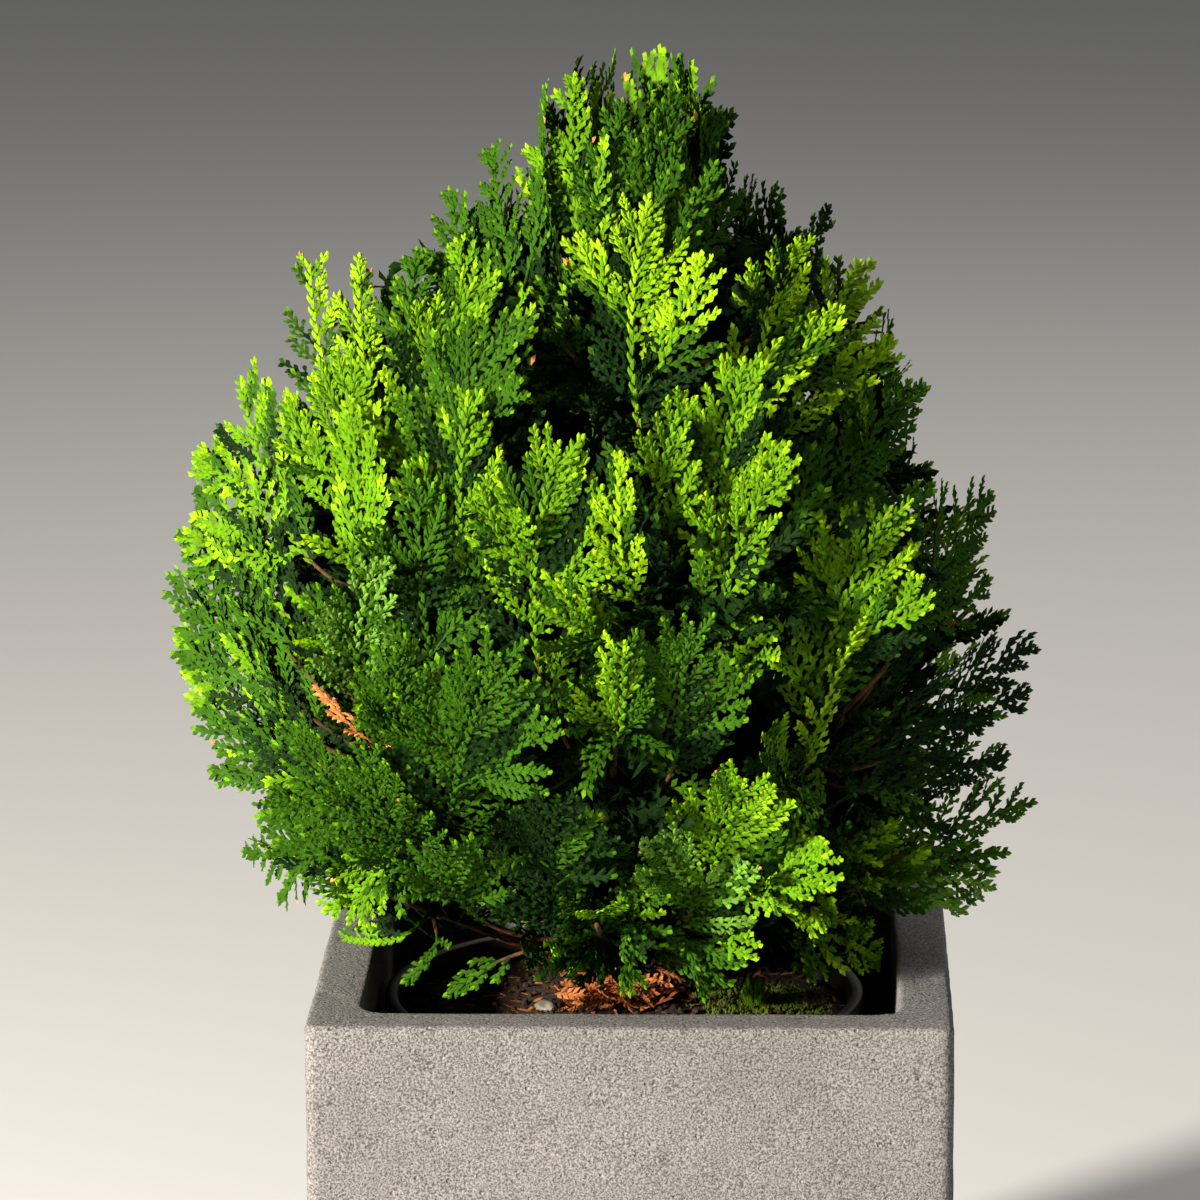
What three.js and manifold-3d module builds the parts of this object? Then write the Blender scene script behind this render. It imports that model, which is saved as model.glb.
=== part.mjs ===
// A dwarf false cypress in its round grow pot, standing inside a square fibre cement planter.
// Millimetres, +Z up, the origin at the middle of the planter's underside, the front towards -Y.
// The shrub is a short trunk that runs up through the crown, boughs in four tiers, and a mass of
// flat sprays on each bough. The two masses at the top sit on the trunk itself.

import * as THREE from "three";
import { mergeVertices } from "three/addons/utils/BufferGeometryUtils.js";
import Module from "manifold-3d";

const wasm = await Module();
wasm.setup();

// The planter: a cube with a thick wall, its edges slightly rounded.
const PLANTER_SIDE = 300;
const PLANTER_HEIGHT = 300;
const PLANTER_WALL = 25;
const PLANTER_EDGE_RADIUS = 2.5;
const PLANTER_CORNER_RADIUS = 5;
const CAVITY_CORNER_RADIUS = 12;

// The round grow pot stands on the planter's floor, a little left of the middle.
const POT_CENTRE_X = -6;
const POT_RIM_RADIUS = 116;
const POT_BASE_RADIUS = 90;
const POT_HEIGHT = 250;
const POT_WALL = 2;
const POT_LIP_HEIGHT = 10;
const POT_LIP_WIDTH = 4;
const POT_SIDES = 36;

// The compost fills the grow pot and rises to a low mound round the trunk.
const COMPOST_EDGE_BELOW_LIP = 12;
const COMPOST_MOUND_RADIUS = 34;
const GROUND = 272;

// The trunk, from its flat cut on the compost to its tip inside the crown. Its lean is where its
// middle passes, as x, y and a share of its height.
const TRUNK_LEAN = [[-12, 8, 0], [-16, 4, 0.35], [-11, 0, 0.7], [0, 0, 1]];
const TRUNK_TOP_HEIGHT = 645;
const TRUNK_RADIUS = 10;
const TRUNK_TIP_RADIUS = 2;
const TRUNK_FLARE = 5;
const TRUNK_FLARE_SHARE = 0.05;
const TRUNK_SIDES = 10;
const TRUNK_STEPS = 10;

// What touches without being fused keeps this gap.
const GAP = 0.3;
const CLEARANCE = 0.5;

// The tiers of the crown, from the foot up. reach and tip are the furthest point of a tier's masses,
// out from the trunk and above the floor. leave is where its boughs leave the trunk, and climb how
// much higher each next one leaves. belly and lift place the bend of a bough, as shares of its reach
// and its rise. split is the share of the way out where the bough ends and its mass begins.
// heart is the share of the way out where the middle of the mass is, and leftRise lifts the masses on
// the left, where the crown stands higher.
const TIERS = [
  {
    name: "skirt", count: 6, first: 210, reach: 182, tip: 362, leave: 280, climb: 5, belly: 0.46,
    lift: 0.42, split: 0.36, heart: 0.66, leftRise: 8, sprays: 5, bough: 3.6,
  },
  {
    name: "middle", count: 8, first: 183, reach: 206, tip: 497, leave: 322, climb: 6, belly: 0.55,
    lift: 0.28, split: 0.36, heart: 0.62, leftRise: 6, sprays: 5, bough: 3.8,
  },
  {
    name: "shoulder", count: 6, first: 172, reach: 150, tip: 604, leave: 400, climb: 8, belly: 0.6,
    lift: 0.32, split: 0.44, heart: 0.72, leftRise: 30, sprays: 6, bough: 3.2,
  },
  {
    name: "upper", count: 4, first: 278, reach: 74, tip: 678, leave: 496, climb: 9, belly: 0.72,
    lift: 0.36, split: 0.42, heart: 0.74, leftRise: 0, sprays: 7, bough: 2.6,
  },
  {
    name: "top", count: 2, first: 186, reach: 27, tip: 726, leave: 592, climb: 14, belly: 0.9,
    lift: 0.45, split: 0, heart: 0.7, leftRise: 4, sprays: 7, bough: 2,
  },
];
const LEFT = 180;
const BOUGH_TIP_SHARE = 0.62;
const BOUGH_SIDES = 6;
const BOUGH_STEPS = 3;

// The crown's outline as height and radius round the trunk. Only a spray that stays inside it grows.
const CROWN = [
  [286, 122], [300, 146], [336, 182], [372, 194], [440, 206], [500, 208], [545, 186],
  [600, 154], [640, 134], [664, 92], [690, 66], [712, 48], [733, 34],
];
const CROWN_MARGIN = 5;

// One mass of foliage: a stem with a small core round it, and flat sprays that stand out of the core.
// One spray goes to the bough's tip, and the others fan out over the crown's outline, each as far as
// the edge of the mass's space. A spray's narrow root is its twig, which runs back into the core. Its
// cup is how far its tip stands off a flat plane, as a share of its length.
const STEM_END = 0.84;
const STEM_SIDES = 3;
const STEM_STEPS = 2;
const STEM_RADIUS = 2.1;
const STEM_TIP_RADIUS = 1.5;
const FAN_FIRST = 10;
const FAN_JITTER = 16;
const FAN_REACH = [26, 92];
const FAN_STEP = 3;
const FAN_DEPTH = 5;
const FAN_ROOT = 0.08;
const SPRAY_THICKNESS = 1.5;
const SPRAY_WIDTH_SHARE = 0.66;
const SPRAY_TEETH = 3;
const SPRAY_ROLL = 40;
const SPRAY_TILT = 0.3;
const SPRAY_CUP = 0.2;
const SPRAY_CUP_ACROSS = 2;
const SPRAY_CUPS_BACK = 0.6;
const SPRAY_TRIES = [1, 0.9, 0.8, 0.7];
const SPRAY_TURNS = [0, 40, -40, 80];
const CORE_RADIUS = 54;
const CORE_TALL = 1.3;
const CORE_LUMPS = 0.7;
const CORE_INSET = 32;
const CORE_MARGIN = 5;
const CORE_HOLLOW = 0.2;
const CORE_STEP = 3;
const MASS_MARGIN = 0.8;
const MASS_SEED = 1009;
const MASS_SEED_STEP = 97;
const CORE_SEED = 2003;
const CORE_SEED_STEP = 31;

const UP = new THREE.Vector3(0, 0, 1);
const radians = THREE.MathUtils.degToRad;

// A repeatable series of numbers from 0 to 1.
function seeded(seed) {
  const MODULUS = 2147483647;
  const MULTIPLIER = 16807;
  let state = seed;
  return () => {
    state = (state * MULTIPLIER) % MODULUS;
    return state / MODULUS;
  };
}

function solidOf(geometry) {
  const bare = geometry.clone();
  bare.deleteAttribute("normal");
  bare.deleteAttribute("uv");
  const merged = mergeVertices(bare, 1e-3);
  const mesh = new wasm.Mesh({
    numProp: 3,
    vertProperties: new Float32Array(merged.attributes.position.array),
    triVerts: new Uint32Array(merged.index.array),
  });
  return new wasm.Manifold(mesh);
}

function geometryOf(solid) {
  const mesh = solid.getMesh();
  const geometry = new THREE.BufferGeometry();
  geometry.setAttribute("position", new THREE.BufferAttribute(mesh.vertProperties, 3));
  geometry.setIndex(new THREE.BufferAttribute(mesh.triVerts, 1));
  geometry.computeVertexNormals();
  return geometry;
}

const unionOf = (solids) => solids.reduce((whole, solid) => whole.add(solid));

// The largest body of a solid, without loose scraps.
function largestBody(solid) {
  const bodies = solid.decompose();
  return bodies.reduce((best, body) => (body.volume() > best.volume() ? body : best));
}

// A tapering limb along a curve: a cylinder's rings, moved on to the curve and scaled.
function limb(curve, radiusAt, sides, steps) {
  const geometry = new THREE.CylinderGeometry(1, 1, 1, sides, steps);
  const frames = curve.computeFrenetFrames(steps, false);
  const position = geometry.getAttribute("position");
  for (let i = 0; i < position.count; i++) {
    const step = Math.round((position.getY(i) + 0.5) * steps);
    const share = step / steps;
    const point = curve.getPointAt(share);
    const radius = radiusAt(share);
    point.addScaledVector(frames.binormals[step], position.getX(i) * radius);
    point.addScaledVector(frames.normals[step], position.getZ(i) * radius);
    position.setXYZ(i, point.x, point.y, point.z);
  }
  return geometry;
}

// Part of a curve, run on past both of its ends by the length beyond.
function stretch(curve, from, to, beyond = 0) {
  const SPANS = 6;
  const points = [];
  for (let i = 0; i <= SPANS; i++) points.push(curve.getPoint(from + ((to - from) * i) / SPANS));
  if (beyond > 0) {
    points.unshift(points[0].clone().addScaledVector(curve.getTangent(from), -beyond));
    points.push(points[points.length - 1].clone().addScaledVector(curve.getTangent(to), beyond));
  }
  return new THREE.CatmullRomCurve3(points, false, "centripetal");
}

function roundedSquare(side, radius, segments) {
  const half = side / 2;
  const inner = half - radius;
  const shape = new THREE.Shape();
  for (let corner = 0; corner < 4; corner++) {
    const start = (corner * Math.PI) / 2;
    const x = inner * (corner === 0 || corner === 3 ? 1 : -1);
    const y = inner * (corner < 2 ? 1 : -1);
    shape.absarc(x, y, radius, start, start + Math.PI / 2, false);
  }
  return new THREE.Shape(shape.getPoints(segments));
}

function makePlanter() {
  const CORNER_SEGMENTS = 3;
  const EDGE_SEGMENTS = 2;
  const side = PLANTER_SIDE - 2 * PLANTER_EDGE_RADIUS;
  const outline = roundedSquare(side, PLANTER_CORNER_RADIUS - PLANTER_EDGE_RADIUS, CORNER_SEGMENTS);
  const block = new THREE.ExtrudeGeometry(outline, {
    depth: PLANTER_HEIGHT - 2 * PLANTER_EDGE_RADIUS,
    bevelEnabled: true,
    bevelThickness: PLANTER_EDGE_RADIUS,
    bevelSize: PLANTER_EDGE_RADIUS,
    bevelSegments: EDGE_SEGMENTS,
  });
  block.translate(0, 0, PLANTER_EDGE_RADIUS);
  const cavitySide = PLANTER_SIDE - 2 * PLANTER_WALL;
  const mouth = roundedSquare(cavitySide, CAVITY_CORNER_RADIUS, CORNER_SEGMENTS);
  const cavity = new THREE.ExtrudeGeometry(mouth, { depth: PLANTER_HEIGHT, bevelEnabled: false });
  cavity.translate(0, 0, PLANTER_WALL);
  return solidOf(block).subtract(solidOf(cavity));
}

// A turned solid from its profile of radius and height, standing round the grow pot's middle.
function turned(profile, sides) {
  const points = profile.map(([radius, height]) => new THREE.Vector2(radius, height));
  const geometry = new THREE.LatheGeometry(points, sides);
  geometry.rotateX(Math.PI / 2);
  geometry.translate(POT_CENTRE_X, 0, 0);
  return solidOf(geometry);
}

const potTop = PLANTER_WALL + POT_HEIGHT;
const potLipFoot = potTop - POT_LIP_HEIGHT;
const potBodyRadius = POT_RIM_RADIUS - POT_LIP_WIDTH;
// The pot's outer radius below its lip, at a height.
const potRadiusAt = (height) =>
  THREE.MathUtils.mapLinear(height, PLANTER_WALL, potLipFoot, POT_BASE_RADIUS, potBodyRadius);

function makeGrowPot() {
  const floorTop = PLANTER_WALL + POT_WALL;
  return turned([
    [0, PLANTER_WALL],
    [POT_BASE_RADIUS, PLANTER_WALL],
    [potBodyRadius, potLipFoot],
    [POT_RIM_RADIUS, potLipFoot],
    [POT_RIM_RADIUS, potTop],
    [potBodyRadius - POT_WALL, potTop],
    [potBodyRadius - POT_WALL, potLipFoot],
    [potRadiusAt(floorTop) - POT_WALL, floorTop],
    [0, floorTop],
  ], POT_SIDES);
}

function makeCompost() {
  const FALL_RADIUS = 0.66;
  const FALL_DEPTH = 0.3;
  const foot = PLANTER_WALL + POT_WALL + GAP;
  const edge = potTop - COMPOST_EDGE_BELOW_LIP;
  const wall = POT_WALL + GAP;
  const fallRadius = THREE.MathUtils.lerp(COMPOST_MOUND_RADIUS, potBodyRadius, FALL_RADIUS);
  const fallHeight = THREE.MathUtils.lerp(edge, GROUND, FALL_DEPTH);
  return turned([
    [0, foot],
    [potRadiusAt(foot) - wall, foot],
    [potRadiusAt(edge) - wall, edge],
    [fallRadius, fallHeight],
    [COMPOST_MOUND_RADIUS, GROUND],
    [0, GROUND],
  ], POT_SIDES);
}

// The trunk leans a little to the left on its way up and comes back to the middle at its tip.
const trunkCurve = new THREE.CatmullRomCurve3(
  TRUNK_LEAN.map(([x, y, share]) => {
    return new THREE.Vector3(x, y, THREE.MathUtils.lerp(GROUND, TRUNK_TOP_HEIGHT, share));
  }),
);

function trunkRadiusAt(share) {
  const flare = TRUNK_FLARE * Math.exp(-share / TRUNK_FLARE_SHARE);
  return THREE.MathUtils.lerp(TRUNK_RADIUS, TRUNK_TIP_RADIUS, share) + flare;
}

// The middle of the trunk at a height.
function trunkAt(height) {
  const share = (height - GROUND) / (TRUNK_TOP_HEIGHT - GROUND);
  return trunkCurve.getPoint(THREE.MathUtils.clamp(share, 0, 1)).setZ(height);
}

// The trunk, or with grow over 0 the space to keep clear round it. It is made a little too long and
// then cut flat at the ground.
function makeTrunk(grow = 0) {
  const SPARE = 5;
  const path = stretch(trunkCurve, 0, 1, SPARE + grow);
  const radiusAt = (share) => trunkRadiusAt(share) + grow;
  const below = new THREE.BoxGeometry(PLANTER_SIDE, PLANTER_SIDE, GROUND);
  below.translate(0, 0, GROUND / 2);
  return solidOf(limb(path, radiusAt, TRUNK_SIDES, TRUNK_STEPS)).subtract(solidOf(below));
}

// Every bough and mass of the crown, with the curve that the two of them share.
const places = TIERS.flatMap((tier) =>
  Array.from({ length: tier.count }, (_, i) => {
    const azimuth = radians(tier.first + (i * 360) / tier.count);
    const outward = new THREE.Vector3(Math.cos(azimuth), Math.sin(azimuth), 0);
    const toLeft = Math.max(0, Math.cos(azimuth - radians(LEFT)));
    const leave = tier.leave + tier.climb * i;
    const tipHeight = tier.tip + tier.leftRise * toLeft;
    const root = trunkAt(leave);
    const tip = trunkAt(tipHeight).addScaledVector(outward, tier.reach);
    const bend = root.clone().setZ(THREE.MathUtils.lerp(leave, tipHeight, tier.lift));
    bend.addScaledVector(outward, tier.reach * tier.belly);
    return { tier, index: i, curve: new THREE.QuadraticBezierCurve3(root, bend, tip) };
  }),
);

// A bough, or with grow over 0 the space to keep clear round it. It starts on the trunk's axis.
function makeBough(place, grow = 0) {
  const { tier, curve } = place;
  const path = stretch(curve, 0, tier.split, grow);
  const radiusAt = (share) => tier.bough * THREE.MathUtils.lerp(1, BOUGH_TIP_SHARE, share) + grow;
  return solidOf(limb(path, radiusAt, BOUGH_SIDES, BOUGH_STEPS));
}

// The outline of one flat spray, root at the origin and tip at +Y. It is widest near its root, and
// toothed on both sides, with the teeth swept forward.
function sprayOutline(length, width) {
  const ROOT_HALF_WIDTH = 1.6;
  const WIDEST = 0.32;
  const TAPER = 0.85;
  const NOTCH_DEPTH = 0.4;
  const NOTCH_BACK = 0.13;
  const TOOTH_EARLY = 0.08;
  const TIP_TEETH = 0.5;
  const right = [[ROOT_HALF_WIDTH, 0]];
  for (let tooth = 1; tooth <= SPRAY_TEETH; tooth++) {
    const share = (tooth - TOOTH_EARLY) / (SPRAY_TEETH + TIP_TEETH);
    const swell = Math.min(1, share / WIDEST) * ((1 - share) / (1 - WIDEST)) ** TAPER;
    const half = (width / 2) * swell;
    if (tooth > 1) right.push([half * NOTCH_DEPTH, length * (share - NOTCH_BACK)]);
    right.push([half, length * share]);
  }
  const left = right.map(([x, y]) => [-x, y]).reverse();
  return [...right, [0, length], ...left].map(([x, y]) => new THREE.Vector2(x, y));
}

// A spray as a thin cupped blade. It starts at root, points along direction and faces normal.
function makeSpray(root, direction, normal, length, cup) {
  const width = length * SPRAY_WIDTH_SHARE;
  const geometry = new THREE.ExtrudeGeometry(new THREE.Shape(sprayOutline(length, width)), {
    depth: SPRAY_THICKNESS,
    bevelEnabled: false,
  });
  geometry.translate(0, 0, -SPRAY_THICKNESS / 2);
  const position = geometry.getAttribute("position");
  for (let i = 0; i < position.count; i++) {
    const along = position.getY(i) / length;
    const across = position.getX(i) / width;
    const curl = along * along + SPRAY_CUP_ACROSS * across * across;
    position.setZ(i, position.getZ(i) + cup * length * curl);
  }
  const facing = normal.clone().addScaledVector(direction, -normal.dot(direction)).normalize();
  const side = direction.clone().cross(facing);
  geometry.applyMatrix4(new THREE.Matrix4().makeBasis(side, direction, facing).setPosition(root));
  return geometry;
}

const hearts = places.map((place) => place.curve.getPoint(place.tier.heart));

// How far a point lies inside the space of one mass: the part of the crown that is nearer to the
// heart of that mass than to the heart of any other.
function depthInSpace(point, own) {
  let depth = Infinity;
  hearts.forEach((other, i) => {
    if (i === own) return;
    const apart = other.distanceTo(hearts[own]);
    const nearer = point.distanceToSquared(other) - point.distanceToSquared(hearts[own]);
    depth = Math.min(depth, nearer / (2 * apart));
  });
  return depth;
}

// The crown's radius at a height, or 0 above its top.
function crownRadiusAt(height) {
  const next = CROWN.findIndex(([level]) => level > height);
  if (next < 1) return 0;
  const [low, high] = [CROWN[next - 1], CROWN[next]];
  return THREE.MathUtils.mapLinear(height, low[0], high[0], low[1], high[1]);
}

function keepsToSpace(geometry, own) {
  const position = geometry.getAttribute("position");
  const point = new THREE.Vector3();
  for (let i = 0; i < position.count; i++) {
    point.fromBufferAttribute(position, i);
    if (depthInSpace(point, own) < MASS_MARGIN) return false;
    if (point.distanceTo(trunkAt(point.z)) > crownRadiusAt(point.z) + CROWN_MARGIN) return false;
  }
  return true;
}

// Straight away from the trunk, level.
function outwardAt(point) {
  return point.clone().sub(trunkAt(point.z)).setZ(0).normalize();
}

// Where the crown's outline lies from a point: straight out from the trunk, at the same height.
function onOutline(point) {
  const top = CROWN[CROWN.length - 1][0] - 1;
  const height = Math.min(point.z, top);
  return trunkAt(height).addScaledVector(outwardAt(point), crownRadiusAt(height));
}

// The places on the crown's outline where the tips of a mass's sprays go.
function sprayTips(place, own, random) {
  const furthest = place.curve.getPoint(1);
  const aside = UP.clone().cross(outwardAt(furthest));
  const tips = [furthest];
  for (let k = 0; k < place.tier.sprays; k++) {
    const spread = FAN_FIRST + (k * 360) / place.tier.sprays;
    const angle = radians(spread + FAN_JITTER * (random() - 0.5));
    const along = UP.clone().multiplyScalar(Math.cos(angle));
    along.addScaledVector(aside, Math.sin(angle));
    const tipAt = (reach) => onOutline(hearts[own].clone().addScaledVector(along, reach));
    let reach = FAN_REACH[0];
    if (depthInSpace(tipAt(reach), own) < FAN_DEPTH) continue;
    while (reach < FAN_REACH[1] && depthInSpace(tipAt(reach + FAN_STEP), own) > FAN_DEPTH) {
      reach += FAN_STEP;
    }
    tips.push(tipAt(reach));
  }
  return tips;
}

// The core: a ball of twenty faces whose corners are moved out until they near the edge of the
// mass's space, the crown's outline, the trunk or the planter's rim.
function makeCore(own) {
  const random = seeded(CORE_SEED + CORE_SEED_STEP * own);
  const geometry = new THREE.IcosahedronGeometry(1, 0);
  geometry.deleteAttribute("normal");
  geometry.deleteAttribute("uv");
  const core = mergeVertices(geometry);
  const position = core.getAttribute("position");
  const fits = (point) => {
    const fromTrunk = point.distanceTo(trunkAt(point.z));
    const outline = crownRadiusAt(point.z);
    if (fromTrunk > outline - CORE_INSET || fromTrunk < CORE_HOLLOW * outline) return false;
    return point.z > PLANTER_HEIGHT + CORE_MARGIN && depthInSpace(point, own) > CORE_MARGIN;
  };
  for (let i = 0; i < position.count; i++) {
    const direction = new THREE.Vector3().fromBufferAttribute(position, i);
    direction.z *= CORE_TALL;
    const pointAt = (radius) => hearts[own].clone().addScaledVector(direction, radius);
    const furthest = CORE_RADIUS * THREE.MathUtils.lerp(CORE_LUMPS, 1, random());
    let radius = CORE_STEP;
    while (radius < furthest && fits(pointAt(radius))) radius += CORE_STEP;
    position.setXYZ(i, ...pointAt(radius));
  }
  return core;
}

// The first of the ways to turn and shorten one spray that keeps to the mass's space and touches
// nothing, as a solid, or null where none does.
function fitSpray(from, tip, own, obstacles, random) {
  const roll = SPRAY_ROLL * (random() - 0.5);
  const cup = SPRAY_CUP * (random() - SPRAY_CUPS_BACK);
  for (const scale of SPRAY_TRIES) {
    for (const turn of SPRAY_TURNS) {
      const direction = tip.clone().sub(from).normalize();
      const length = tip.distanceTo(from) * scale;
      const facing = outwardAt(tip).addScaledVector(UP, SPRAY_TILT);
      facing.applyAxisAngle(direction, radians(roll + turn));
      const blade = makeSpray(from, direction, facing, length, cup);
      if (!keepsToSpace(blade, own)) continue;
      const solid = solidOf(blade);
      if (obstacles.intersect(solid).isEmpty()) return solid;
    }
  }
  return null;
}

// One mass of foliage, all fused to one stem.
function makeMass(place, own, limbs, obstacles) {
  const { tier, curve } = place;
  const random = seeded(MASS_SEED + MASS_SEED_STEP * own);
  const stem = stretch(curve, tier.split, STEM_END);
  const radiusAt = (share) => THREE.MathUtils.lerp(STEM_RADIUS, STEM_TIP_RADIUS, share);
  const solids = [solidOf(limb(stem, radiusAt, STEM_SIDES, STEM_STEPS))];
  if (tier.split > 0) solids.push(solidOf(makeCore(own)));
  sprayTips(place, own, random).forEach((tip, k) => {
    const from = k === 0 ? stem.getPoint(1) : hearts[own].clone().lerp(tip, FAN_ROOT);
    const spray = fitSpray(from, tip, own, obstacles, random);
    if (spray) solids.push(spray);
  });
  return largestBody(unionOf(solids).subtract(limbs));
}

const COLOURS = {
  planter: { color: 0x8f8c87, roughness: 0.95 },
  grow_pot: { color: 0x2b2422, roughness: 0.55 },
  compost: { color: 0x3a2a1c, roughness: 1 },
  bark: { color: 0x8a4e33, roughness: 0.9 },
  foliage: { color: 0x4f8a1e, roughness: 0.6 },
};

const group = new THREE.Group();

function addMesh(name, solid, finish) {
  const material = new THREE.MeshStandardMaterial({ ...COLOURS[finish], metalness: 0 });
  const mesh = new THREE.Mesh(geometryOf(solid), material);
  mesh.name = name;
  group.add(mesh);
}

const planter = makePlanter();
const growPot = makeGrowPot();
const compost = makeCompost();
addMesh("planter", planter, "planter");
addMesh("grow_pot", growPot, "grow_pot");
addMesh("compost", compost, "compost");
addMesh("trunk", makeTrunk(), "bark");

const trunkSpace = makeTrunk(GAP);
const withBough = places.filter((place) => place.tier.split > 0);
withBough.forEach((place) => {
  const bough = makeBough(place).subtract(trunkSpace);
  addMesh(`bough_${place.tier.name}_${place.index + 1}`, bough, "bark");
});

const limbSpace = unionOf([trunkSpace, ...withBough.map((place) => makeBough(place, GAP))]);
const obstacles = unionOf([
  makeTrunk(CLEARANCE),
  ...withBough.map((place) => makeBough(place, CLEARANCE)),
  planter,
  growPot,
  compost,
]);
places.forEach((place, own) => {
  const solid = makeMass(place, own, limbSpace, obstacles);
  addMesh(`foliage_${place.tier.name}_${place.index + 1}`, solid, "foliage");
});

export default group;
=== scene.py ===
import math
from collections import namedtuple

import bmesh
import bpy
import numpy as np
from bpy.props import FloatProperty, FloatVectorProperty, IntProperty, PointerProperty
from mathutils import Matrix, Vector, noise


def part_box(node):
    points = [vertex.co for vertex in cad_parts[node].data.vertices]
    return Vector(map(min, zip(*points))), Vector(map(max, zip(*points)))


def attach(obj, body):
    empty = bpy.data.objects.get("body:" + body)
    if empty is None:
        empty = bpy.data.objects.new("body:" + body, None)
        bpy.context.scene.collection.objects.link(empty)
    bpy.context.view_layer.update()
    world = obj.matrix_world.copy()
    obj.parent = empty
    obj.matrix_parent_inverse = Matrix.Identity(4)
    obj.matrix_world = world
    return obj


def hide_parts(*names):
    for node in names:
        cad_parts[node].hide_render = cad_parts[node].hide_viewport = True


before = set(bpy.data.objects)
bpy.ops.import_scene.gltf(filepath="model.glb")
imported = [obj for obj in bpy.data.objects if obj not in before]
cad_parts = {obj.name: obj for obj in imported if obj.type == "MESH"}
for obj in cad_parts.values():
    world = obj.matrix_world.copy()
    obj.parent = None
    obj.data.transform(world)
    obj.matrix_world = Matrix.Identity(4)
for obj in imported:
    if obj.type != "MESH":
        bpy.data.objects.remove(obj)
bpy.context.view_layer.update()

bl_info = {
    "name": "Potted False Cypress",
    "version": (1, 0, 0),
    "blender": (4, 5, 0),
    "location": "View3D > Sidebar > Cypress",
    "description": "A dwarf false cypress in its grow pot, inside a square fibre cement planter",
    "category": "Add Mesh",
}

# The shrub grows in millimetres, and its meshes are made in metres.
MM = 0.001
UP = np.array([0.0, 0.0, 1.0])

_, planter_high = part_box("planter")
pot_low, pot_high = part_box("grow_pot")
compost_low, compost_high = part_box("compost")
trunk_low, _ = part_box("trunk")
RIM = planter_high.z / MM
HALF_SIDE = planter_high.x / MM
GROUND = trunk_low.z / MM
POT_CENTRE_X = (pot_low.x + pot_high.x) / 2 / MM
POT_RIM_RADIUS = (pot_high.x - pot_low.x) / 2 / MM
PLANTER_WALL = pot_low.z / MM


def linear(code):
    """An sRGB hex colour such as 8F8C87 as linear red, green and blue."""
    parts = [int(code[i : i + 2], 16) / 255 for i in (0, 2, 4)]
    return tuple(c / 12.92 if c <= 0.04045 else ((c + 0.055) / 1.055) ** 2.4 for c in parts)


# The growth of the shrub, in millimetres and degrees.

# A tier of masses: how many there are, the direction of the first, how far out and how high their
# tips lie, where the first bough leaves the trunk and how much higher each next one does, how far
# out and up a bough bends, the shares of its curve where the bough ends and where the heart of its
# mass lies, how much higher the tips are on the left, the fronds of a mass, and the bough's radius.
Tier = namedtuple(
    "Tier",
    "name count first reach tip leave climb belly lift split heart left_rise fronds bough",
)
TIERS = (
    Tier("skirt", 6, 210, 182, 362, 280, 5, 0.46, 0.42, 0.36, 0.66, 8, 5, 3.6),
    Tier("middle", 8, 183, 206, 497, 322, 6, 0.55, 0.28, 0.36, 0.62, 6, 5, 3.8),
    Tier("shoulder", 6, 172, 150, 604, 400, 8, 0.60, 0.32, 0.44, 0.72, 30, 6, 3.2),
    Tier("upper", 4, 278, 74, 678, 496, 9, 0.72, 0.36, 0.42, 0.74, 0, 7, 2.6),
    Tier("top", 2, 186, 27, 726, 592, 14, 0.90, 0.45, 0.00, 0.70, 4, 7, 2.0),
)

# The direction of the left side, in degrees round the trunk.
LEFT = 180

# The share of its curve where the stem of a mass ends, and how thick a bough's tip is next to its
# foot.
STEM_END = 0.84
BOUGH_TIP_SHARE = 0.62

# The trunk's middle at even steps from its foot to its top, its radii, and its flare at the foot.
TRUNK_LEAN = ((-12, 8), (-16, 4), (-11, 0), (0, 0))
TRUNK_TOP = 645
TRUNK_RADIUS = 10
TRUNK_TIP_RADIUS = 2
TRUNK_FLARE = 5
TRUNK_FLARE_SHARE = 0.05

# The crown's outline as height, and radius round the trunk to the left, to the right and in depth.
CROWN = (
    (286, 112, 122, 104), (300, 128, 140, 122), (336, 162, 172, 158), (372, 184, 186, 182),
    (440, 202, 192, 198), (500, 206, 184, 196), (545, 182, 160, 178), (600, 148, 136, 148),
    (640, 140, 102, 114), (652, 84, 84, 96), (664, 74, 68, 82), (690, 60, 46, 60), (712, 42, 38, 44),
    (733, 28, 27, 30),
)
CROWN_FOOT = CROWN[0][0]
CROWN_TOP = CROWN[-1][0]

# The fronds of a mass end in a fan round its heart: the angle of the first, how far each strays from
# even spacing, how far from the heart they may end and in what steps that is tried, and how far they
# keep inside the space of their mass.
FAN_FIRST = 10
FAN_JITTER = 16
FAN_REACH = (26, 92)
FAN_STEP = 3
FAN_DEPTH = 5

# The fan's two rings: a share of its reach, and the least and most of the crown's radius.
OUTER_RING = (1, 0.89, 1)
INNER_RING = (0.58, 0.77, 0.89)

# How steeply the fronds stand at a height, on the left and right and at the front and back: they
# droop over the rim, and rise upright at the top.
HABIT = (
    (290, -14, -8), (330, 8, 16), (380, 22, 40), (440, 38, 56), (500, 50, 66), (550, 64, 74),
    (600, 76, 80), (733, 88, 88),
)

# The first seed of each kind of growth, and the step from one of its kind to the next.
SEEDS = {
    "spray": (71, 1), "mass": (1009, 97), "shown": (2203, 31), "branch": (3001, 17), "crumb": (4001, 1),
    "moss": (4507, 1), "frond": (6007, 13), "core": (8009, 29), "fallen": (9001, 1),
}


def seeded(kind, index=0):
    """A repeatable series of numbers from 0 to 1, for one of a kind of growth."""
    first, step = SEEDS[kind]
    state = first + step * index
    while True:
        state = (state * 16807) % 2147483647
        yield state / 2147483647


def stray(random, width):
    """A random number within half a width of nought."""
    return width * (next(random) - 0.5)


def stray_vector(random):
    return np.array([next(random) - 0.5 for _ in range(3)])


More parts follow.
